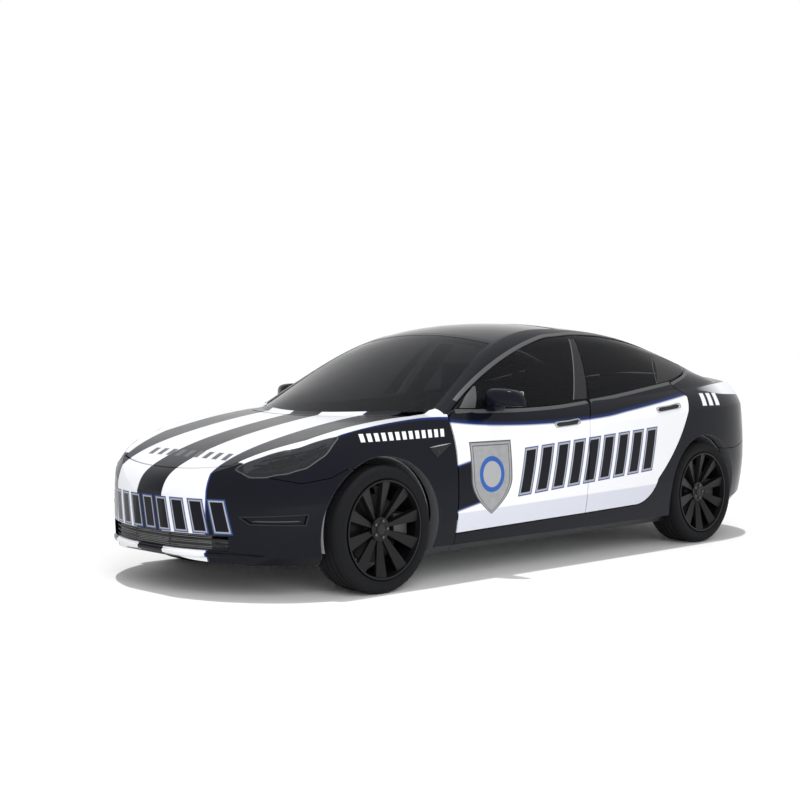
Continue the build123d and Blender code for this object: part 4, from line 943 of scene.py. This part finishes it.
for side, sign in SIDES:
    fender_skin = skin_tree(f"fender_{side}")
    wedge = raised_plate(MARKER, fender_skin, sign, MARKER_HEIGHT)
    piece(f"side_marker_{side}", wedge, "pillar_cover")
    bright = side_ribbon(MARKER_EDGE, fender_skin, sign, *BRIGHT_EDGE, taper=0.2)
    piece(f"side_marker_edge_{side}", bright, "bright_trim")
    lens = raised_plate(MARKER_LENS, fender_skin, sign, MARKER_LENS_HEIGHT, 4)
    piece(f"side_marker_lens_{side}", lens, "screen_glass", "body")

# Front corner slots: a frame round each and a fin inside it.
SLOT_FRAME = [(2.197, 0.4275), (1.944, 0.4395), (1.954, 0.3865), (2.166, 0.3915)]
SLOT_FIN = [(2.150, 0.406), (2.060, 0.405), (1.970, 0.406)]
FRAME_STRIP = (0.006, 0.0015)
FIN_STRIP = (0.007, 0.004)
bumper_skin = skin_tree("front_bumper")
for side, sign in SIDES:
    hits = [side_hit(bumper_skin, x, z, sign) for x, z in loop_points(SLOT_FRAME, 12)]
    piece(f"slot_frame_{side}", ribbon(hits, *FRAME_STRIP, loop=True), "black_trim")
    fin = side_ribbon(SLOT_FIN, bumper_skin, sign, *FIN_STRIP, taper=0.1)
    piece(f"slot_fin_{side}", fin, "satin_trim")


def uncovered_skin(name, sign, neighbours, outward):
    """Mesh of a node's faces on one side that look outward and that no neighbour covers."""
    around = skin_tree(*neighbours)
    made = bmesh.new()
    made.from_mesh(nodes[name].data)
    bmesh.ops.remove_doubles(made, verts=made.verts[:], dist=1e-5)
    made.normal_update()
    covered = []
    for face in made.faces:
        at = face.calc_center_median()
        shown = at.y * sign > 0 and face.normal.dot(outward) > 0.2
        if not shown or around.ray_cast(at + face.normal * 1e-5, face.normal, 0.02)[0] is not None:
            covered.append(face)
    bmesh.ops.delete(made, geom=covered, context="FACES")
    made.normal_update()
    made.verts.index_update()
    return made


RIM_SMOOTH = 3


def rim_points(made, count, draw_in):
    """Even, smoothed points along the longest open edge of a skin, drawn in towards its middle."""
    links = {}
    for edge in made.edges:
        if edge.is_boundary:
            a, b = (v.index for v in edge.verts)
            links.setdefault(a, []).append(b)
            links.setdefault(b, []).append(a)
    made.verts.ensure_lookup_table()
    unseen = set(links)
    longest = []
    for start in sorted(links):
        line = []
        at = start if start in unseen else None
        while at is not None:
            line.append(made.verts[at].co.copy())
            unseen.discard(at)
            at = next((other for other in links[at] if other in unseen), None)
        if len(line) > len(longest):
            longest = line
    closed = longest + longest[:1]
    steps = [(b - a).length for a, b in zip(closed, closed[1:])]
    even = []
    i = 0
    past = 0.0
    for k in range(count):
        goal = sum(steps) * k / count
        while past + steps[i] < goal:
            past += steps[i]
            i += 1
        even.append(closed[i].lerp(closed[i + 1], (goal - past) / steps[i]))
    middle = sum(even, Vector()) / count
    near = range(-RIM_SMOOTH, RIM_SMOOTH + 1)
    smooth = [sum((even[(k + j) % count] for j in near), Vector()) / len(near) for k in range(count)]
    return [p + (middle - p).normalized() * draw_in for p in smooth]


def shell(made, near, far, shrink, lid=True):
    """Shape between two levels of a skin, the far one drawn in; without a lid it is a bowl."""
    middle = sum((v.co for v in made.verts), Vector()) / len(made.verts)
    top = [v.co + v.normal * near for v in made.verts]
    low = [middle + (v.co - middle) * shrink + v.normal * far for v in made.verts]
    count = len(top)
    faces = [tuple(count + v.index for v in f.verts) for f in made.faces]
    if lid:
        faces = [face[::-1] for face in faces] + [tuple(v.index for v in f.verts) for f in made.faces]
    for edge in made.edges:
        if edge.is_boundary:
            a, b = (v.index for v in edge.verts)
            faces.append((a, b, count + b, count + a))
    return top + low, faces


# Headlamps: a smoked lens over a dark bowl, with two projectors, a light guide and inner fins.
LAMP_OUT = Vector((0.62, 0.55, 0.56)).normalized()
LAMP_AIM = (0.86, 0.42, 0.28)
LAMP_GUIDE = [(2.150, 0.588, 0.655), (2.080, 0.672, 0.657), (1.990, 0.732, 0.678), (1.900, 0.762, 0.712),
              (1.810, 0.772, 0.752), (1.735, 0.762, 0.788)]
LAMP_FINS = [[(2.125, 0.588, 0.690), (2.034, 0.680, 0.698), (1.930, 0.732, 0.733), (1.830, 0.754, 0.768)],
             [(2.090, 0.606, 0.712), (1.990, 0.678, 0.737), (1.880, 0.730, 0.757), (1.780, 0.752, 0.784)]]
PROJECTORS = [(2.060, 0.655, 0.686), (1.965, 0.712, 0.714)]
PROJECTOR_RING = [(0.018, -0.004), (0.021, 0.006), (0.024, 0.006), (0.026, -0.014)]
PROJECTOR_GLASS = [(0.0, 0.010), (0.007, 0.009), (0.013, 0.006), (0.018, -0.001), (0.018, -0.008)]
# The lens and the bowl: near and far level, and how far the far one is drawn in.
LENS_LEVELS = (0.0, -0.003, 1.0)
BOWL_LEVELS = (-0.0035, -0.030, 0.95)
# The seal: width, height and how deep its edges sink; its points, and how far in it runs.
SEAL_STRIP = (0.006, 0.0012, 0.002)
SEAL_POINTS = 150
SEAL_IN = 0.005
# How deep under the lens things are, and the bars' radii.
GUIDE_DEPTH = 0.010
FIN_DEPTH = 0.016
PROJECTOR_DEPTH = 0.022
GUIDE_BAR = 0.0024
FIN_BAR = 0.0040


def under_skin(tree, points, sign, depth):
    """Places that deep under a skin, nearest to points given for the left side."""
    found = [tree.find_nearest(sided(p, sign)) for p in points]
    return [at - normal * depth for at, normal, _, _ in found]


for side, sign in SIDES:
    outward = sided(LAMP_OUT, sign)
    made = uncovered_skin("headlamps", sign, (f"fender_{side}", "hood", "front_bumper"), outward)
    lens = piece(f"headlamp_lens_{side}", shell(made, *LENS_LEVELS), "lamp_lens", "body")
    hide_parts("headlamps")
    piece(f"headlamp_bowl_{side}", shell(made, *BOWL_LEVELS, False), "lamp_bowl", "body", False)
    lamp_skin = BVHTree.FromBMesh(made)
    hits = [lamp_skin.find_nearest(p)[:2] for p in rim_points(made, SEAL_POINTS, SEAL_IN)]
    piece(f"lamp_seal_{side}", ribbon(hits, *SEAL_STRIP, loop=True), "satin_trim", "body")
    made.free()
    guide = under_skin(lamp_skin, smooth_path(LAMP_GUIDE, 6), sign, GUIDE_DEPTH)
    piece(f"lamp_guide_{side}", tube(guide, GUIDE_BAR), "light_guide", "body")
    fins = [under_skin(lamp_skin, smooth_path(line, 6), sign, FIN_DEPTH) for line in LAMP_FINS]
    bars = joined(*(tube(line, FIN_BAR, 6) for line in fins))
    piece(f"lamp_fins_{side}", bars, "black_trim", "body")
    aim = sided(LAMP_AIM, sign).normalized()
    places = under_skin(lamp_skin, PROJECTORS, sign, PROJECTOR_DEPTH)
    rings = joined(*(turned(PROJECTOR_RING, at, aim, 28, True) for at in places))
    piece(f"lamp_bezels_{side}", rings, "satin_trim", "body")
    domes = joined(*(turned(PROJECTOR_GLASS, at, aim, 28) for at in places))
    piece(f"lamp_projectors_{side}", domes, "screen_glass", "body", False)

# Grille: fine slats across its middle, just behind the coarse ones' faces.
SLAT_SPAN = (-0.400, 0.420)
SLAT_Z = (0.262, 0.324)
SLAT_COUNT = 8
SLAT_STEPS = 20
SLAT_SINK = 0.004
SLAT_BAR = 0.0028
grille_skin = skin_tree("front_grille")


def grille_face(y):
    """Foremost x of the grille at y."""
    starts = [Vector((3.0, y, 0.256 + 0.004 * i)) for i in range(19)]
    met = [grille_skin.ray_cast(start, -AHEAD)[0] for start in starts]
    return max(at.x for at in met if at)


def spaced(first, last, count):
    """Evenly spaced numbers from first to last."""
    return [first + (last - first) * i / (count - 1) for i in range(count)]


slat_line = [(grille_face(y) - SLAT_SINK, y) for y in spaced(*SLAT_SPAN, SLAT_STEPS + 1)]
slats = [tube([(x, y, z) for x, y in slat_line], SLAT_BAR, 8) for z in spaced(*SLAT_Z, SLAT_COUNT)]
piece("grille_slats", joined(*slats), "satin_line")

# Strips across the car: name, node under it, where the first ray starts, step to the next, count and
# direction of the rays, the strip's width, height and taper, look, body and slot.
STRIPS = (
    ("front_lip", "front_bumper", (3.0, -0.66, 0.232), (0, 0.03, 0), 45, -AHEAD,
     (0.024, 0.0105, 0.1), "nose_paint", "body", "body_paint"),
    ("rear_reflector_left", "rear_bumper", (-3.0, 0.50, 0.445), (0, 0.018, 0.0006), 13, AHEAD,
     (0.026, 0.002, 0.08), "red_lens", "body", "red_lamp"),
    ("rear_reflector_right", "rear_bumper", (-3.0, -0.50, 0.445), (0, -0.018, 0.0006), 13, AHEAD,
     (0.026, 0.002, 0.08), "red_lens", "body", "red_lamp"),
    ("rear_lower_trim", "rear_bumper", (-3.0, -0.66, 0.375), (0, 0.03, 0), 45, AHEAD,
     (0.030, 0.003, 0.06), "black_trim", "body", "trim"),
    ("lid_garnish", "trunk_lid", (-3.0, -0.292, 0.893), (0, 0.0292, 0), 21, AHEAD,
     (0.030, 0.003, 0.0), "pillar_cover", "trunk_lid", "trim"),
    ("lid_lip", "trunk_lid", (-3.0, -0.520, 1.040), (0, 0.040, 0), 27, AHEAD,
     (0.034, 0.009, 0.12), "black_paint", "trunk_lid", "body_paint"),
    ("high_lamp", "rear_glass", (-0.440, -0.11, 2.0), (0, 0.022, 0), 11, -UP,
     (0.020, 0.0015, 0.1), "red_lens", "body", "red_lamp"),
    ("dash_strip", "dashboard", (0.2, -0.64, 0.812), (0, 0.04, 0), 33, AHEAD,
     (0.030, 0.003, 0.03), "dash_strip", "body", "cabin"),
    ("dash_air_slot", "dashboard", (0.2, -0.64, 0.846), (0, 0.04, 0), 33, AHEAD,
     (0.014, 0.002, 0.03), "black_trim", "body", "cabin"))
for name, node, start, step, count, along, (width, height, taper), look, body, slot in STRIPS:
    skin = skin_tree(node)
    hits = [meet(skin, [a + b * i for a, b in zip(start, step)], along) for i in range(count)]
    piece(name, ribbon(hits, width, height, taper=taper), look, body)

# A blank plate on the trunk lid, in a frame of four bars given as size and place off the plate's middle.
PLATE_SIZE = (0.305, 0.155)
PLATE_Z = 0.775
PLATE_OUT = 0.006
FRAME_OUT = 0.004
FRAME_BARS = (((0.010, PLATE_SIZE[0] + 0.016, 0.008), Vector((0, 0, PLATE_SIZE[1] / 2 + 0.002))),
              ((0.010, 0.008, PLATE_SIZE[1] + 0.006), Vector((0, PLATE_SIZE[0] / 2 + 0.004, 0))))
at, normal = meet(skin_tree("trunk_lid"), (-3.0, 0.0, PLATE_Z), AHEAD)
facing = normal.to_track_quat("X", "Z").to_matrix().to_4x4()
plate = rounded_block((0.003, *PLATE_SIZE), 0.0012, at + normal * PLATE_OUT, facing)
piece("plate", plate, "blank_plate", "trunk_lid")
plate_frame = [rounded_block(size, 0.003, at + normal * FRAME_OUT + facing.to_3x3() @ (offset * s), facing)
               for size, offset in FRAME_BARS for s in (1, -1)]
piece("plate_frame", joined(*plate_frame), "black_trim", "trunk_lid")

# Seats. Each pad is crowned, with sewn channels across it, raised sides and a piped edge.
PAD_GRID = 36
PIPING_BAR = 0.0035
# Seams as depth and half width, and where across the pad its sides rise and their seam runs.
CHANNEL = (0.007, 0.028)
SIDE_SEAM = (0.006, 0.025)
SIDE_RISE = (0.58, 0.2)
SIDE_SEAM_AT = 0.60


def pad(place, along, across, half, channels=(), sides=0.0, crown=0.5):
    """Closed pad about a place: along and across are its directions, half its three half sizes."""
    along = Vector(along).normalized()
    across = Vector(across).normalized()
    up = along.cross(across)
    grid = [-1 + 2 * i / PAD_GRID for i in range(PAD_GRID + 1)]

    def point(u, v, top):
        edge = max(0.0, (1 - abs(u) ** 6) * (1 - abs(v) ** 6)) ** 0.42
        pull = 1 - 0.018 * (1 - u * u)
        draw = 1 - 0.022 * (1 - v * v)
        height = half[2] * edge * (0.78 if top else -0.9)
        if top:
            height += half[2] * 0.22 * crown * (1 - u * u) * (1 - v * v)
            height += sides * edge * max(0.0, min(1.0, (abs(v) - SIDE_RISE[0]) / SIDE_RISE[1]))
            height -= sum(CHANNEL[0] * edge * math.exp(-((u - c) / CHANNEL[1]) ** 2) for c in channels)
            if sides:
                height -= SIDE_SEAM[0] * edge * math.exp(-((abs(v) - SIDE_SEAM_AT) / SIDE_SEAM[1]) ** 2)
        return Vector(place) + along * (u * half[0] * draw) + across * (v * half[1] * pull) + up * height

    verts = []
    index = {}
    for top in (True, False):
        for i, u in enumerate(grid):
            for j, v in enumerate(grid):
                rim = i in (0, PAD_GRID) or j in (0, PAD_GRID)
                key = (i, j, rim or top)
                if key not in index:
                    index[key] = len(verts)
                    verts.append(point(u, v, top))
    faces = []
    for top in (True, False):
        for i in range(PAD_GRID):
            for j in range(PAD_GRID):
                ring = ((i, j), (i, j + 1), (i + 1, j + 1), (i + 1, j))
                keys = [index.get((a, b, top), index.get((a, b, True))) for a, b in ring]
                faces.append(tuple(keys if top else keys[::-1]))
    edge = [point(u, v, True) for u, v in loop_points([(-1, -1), (1, -1), (1, 1), (-1, 1)], PAD_GRID)]
    return (verts, faces), tube(edge + edge[:1], PIPING_BAR, 6)


# Pads: middle as (x, z), direction along it as (x, z), half length and half thickness, channels, height of
# the sides, and crown.
BACK_CHANNELS = (-0.45, -0.1, 0.25, 0.6)
FRONT_PADS = {"cushion": ((0.196, 0.405), (1, 0.03), (0.250, 0.070), (-0.35, 0.05, 0.45), 0.016, 0.5),
              "back": ((-0.232, 0.712), (-0.387, 0.922), (0.292, 0.058), BACK_CHANNELS, 0.022, 0.5),
              "headrest": ((-0.340, 1.092), (-0.10, 0.995), (0.088, 0.042), (), 0.0, 0.9)}
REAR_PADS = {"cushion": ((-0.640, 0.385), (1, 0.08), (0.222, 0.062), (-0.3, 0.3), 0.006, 0.5),
             "back": ((-0.965, 0.725), (-0.30, 0.954), (0.290, 0.052), BACK_CHANNELS, 0.006, 0.5),
             "headrest": ((-1.078, 1.055), (-0.12, 0.993), (0.062, 0.036), (), 0.0, 0.9)}


def seat_pads(table, y, half_y, head_half_y, ending=""):
    """Pads of one place on a seat, by their names."""
    pads = {}
    for label, ((x, z), (ahead, rise), (half_x, half_z), *more) in table.items():
        across = (0, 1 if label == "cushion" else -1, 0)
        half = (half_x, head_half_y if label == "headrest" else half_y, half_z)
        pads[label + ending] = pad((x, y, z), (ahead, 0, rise), across, half, *more)
    return pads


def seat(name, pads, body, node, base):
    """Pads of a seat with their piping and base; all of them stand for the node."""
    for label, (shape, edge) in pads.items():
        made = piece(f"{name}_{label}", shape, "seat_leather", body)
        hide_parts(node)
        piece(f"{name}_{label}_piping", edge, "seat_piping", body)
    piece(f"{name}_base", base, "cabin_plastic", body)


def leaned(degrees):
    """Turn about the y axis."""
    return Matrix.Rotation(math.radians(degrees), 4, "Y")


SEAT_Y = 0.370
for side, sign in SIDES:
    y = SEAT_Y * sign
    posts = [tube([(-0.325, y + s * 0.05, 0.97), (-0.338, y + s * 0.05, 1.04)], 0.007) for s in (1, -1)]
    rails = [rounded_block((0.40, 0.035, 0.045), 0.008, (0.150, y + s * 0.17, 0.2835)) for s in (1, -1)]
    shield = rounded_block((0.46, 0.44, 0.052), 0.020, (0.165, y, 0.334))
    hinge = rounded_block((0.10, 0.43, 0.16), 0.030, (-0.125, y, 0.430), leaned(-22))
    base = joined(shield, hinge, *rails, *posts)
    seat(f"seat_{side}", seat_pads(FRONT_PADS, y, 0.238, 0.128), "body", f"front_seat_{side}", base)

pads = {}
for label, y, half_y in (("left", 0.395, 0.210), ("middle", 0.0, 0.180), ("right", -0.395, 0.210)):
    pads.update(seat_pads(REAR_PADS, y, half_y, half_y * 0.62, f"_{label}"))
plinth = rounded_block((0.56, 1.18, 0.080), 0.020, (-0.72, 0.0, 0.300))
panel = rounded_block((0.030, 1.18, 0.76), 0.012, (-1.072, 0.0, 0.640), leaned(-8))
seat("rear_seat", pads, "body", "rear_seat", joined(plinth, panel))

# Screen on a stalk over the dashboard.
SCREEN_PLACE = Vector((0.726, 0.0, 0.868))
SCREEN_LEAN = leaned(-14)
screen_back = rounded_block((0.012, 0.345, 0.215), 0.005, SCREEN_PLACE, SCREEN_LEAN)
stalk = rounded_block((0.090, 0.080, 0.050), 0.015, SCREEN_PLACE + Vector((0.050, 0, -0.035)))
piece("screen_back", joined(screen_back, stalk), "black_trim", "body")
face_place = SCREEN_PLACE + SCREEN_LEAN.to_3x3() @ Vector((-0.0065, 0, 0))
screen_face = rounded_block((0.003, 0.330, 0.200), 0.0012, face_place, SCREEN_LEAN)
piece("screen_face", screen_face, "screen_glass", "body")

# Steering wheel: a centre pad with two thumb wheels.
WHEEL_PLACE = Vector((0.620, 0.370, 0.800))
WHEEL_TILT = leaned(24)
THUMB_WHEEL = [(0.0, 0.006), (0.008, 0.006), (0.010, 0.004), (0.010, -0.006)]
THUMB_Y = Vector((0, 0.105, 0))
towards = WHEEL_TILT.to_3x3() @ -AHEAD
hub_pad = rounded_block((0.036, 0.150, 0.118), 0.017, WHEEL_PLACE + towards * 0.020, WHEEL_TILT, 4)
piece("steering_pad", hub_pad, "cabin_plastic", "steering_wheel")
thumbs = [turned(THUMB_WHEEL, WHEEL_PLACE + towards * 0.012 + THUMB_Y * s, towards, 20) for s in (1, -1)]
piece("steering_thumb_wheels", joined(*thumbs), "pressed_aluminium", "steering_wheel")

# Centre console: a padded lid, a sliding cover and two cup rings.
CUP_RING = [(0.036, -0.004), (0.036, 0.004), (0.040, 0.006), (0.044, 0.004), (0.046, -0.004)]
CUPS_X = (0.250, 0.352)
lid_shape, lid_edge = pad((0.020, 0.0, 0.486), (1, 0, 0), (0, 1, 0), (0.150, 0.094, 0.026), (), 0.0, 0.8)
piece("console_lid", lid_shape, "seat_leather", "body")
piece("console_lid_piping", lid_edge, "seat_piping", "body")
cups = [turned(CUP_RING, (x, 0.0, 0.470), UP, 32, True) for x in CUPS_X]
piece("cup_rings", joined(*cups), "pressed_aluminium", "body")
cover = rounded_block((0.200, 0.150, 0.014), 0.005, (0.530, 0.0, 0.473))
piece("console_cover", cover, "screen_glass", "body")

# Door cards: an armrest, a map pocket and a speaker on each door, off a place given as (x, z).
CARDS = {"front": (0.300, 0.640), "rear": (-0.700, 0.665)}
ARMREST_Y = 0.745
POCKET_Y = 0.770
SPEAKER_Y = 0.774
SPEAKER = [(0.0, 0.004), (0.030, 0.003), (0.062, 0.002), (0.068, 0.006), (0.074, 0.004), (0.076, -0.006)]
PULL = [(0.13, 0.745, 0.020), (0.15, 0.722, 0.075), (0.25, 0.722, 0.085), (0.27, 0.765, 0.070)]
PULL_BAR = 0.009
for end, sign, corner in CORNERS:
    x, z = CARDS[end]
    body = f"door_{corner}"
    rest = rounded_block((0.44, 0.080, 0.052), 0.022, (x, sign * ARMREST_Y, z), segments=4)
    pull = tube([(x + dx, sign * y, z + dz) for dx, y, dz in PULL], PULL_BAR)
    piece(f"armrest_{corner}", joined(rest, pull), "cabin_plastic", body)
    pocket = rounded_block((0.50, 0.026, 0.130), 0.011, (x - 0.02, sign * POCKET_Y, z - 0.240))
    piece(f"door_pocket_{corner}", pocket, "cabin_plastic", body)
    speaker = turned(SPEAKER, (x + 0.345, sign * SPEAKER_Y, z - 0.190), (0, -sign, 0), 36)
    piece(f"speaker_{corner}", speaker, "black_trim", body, False)
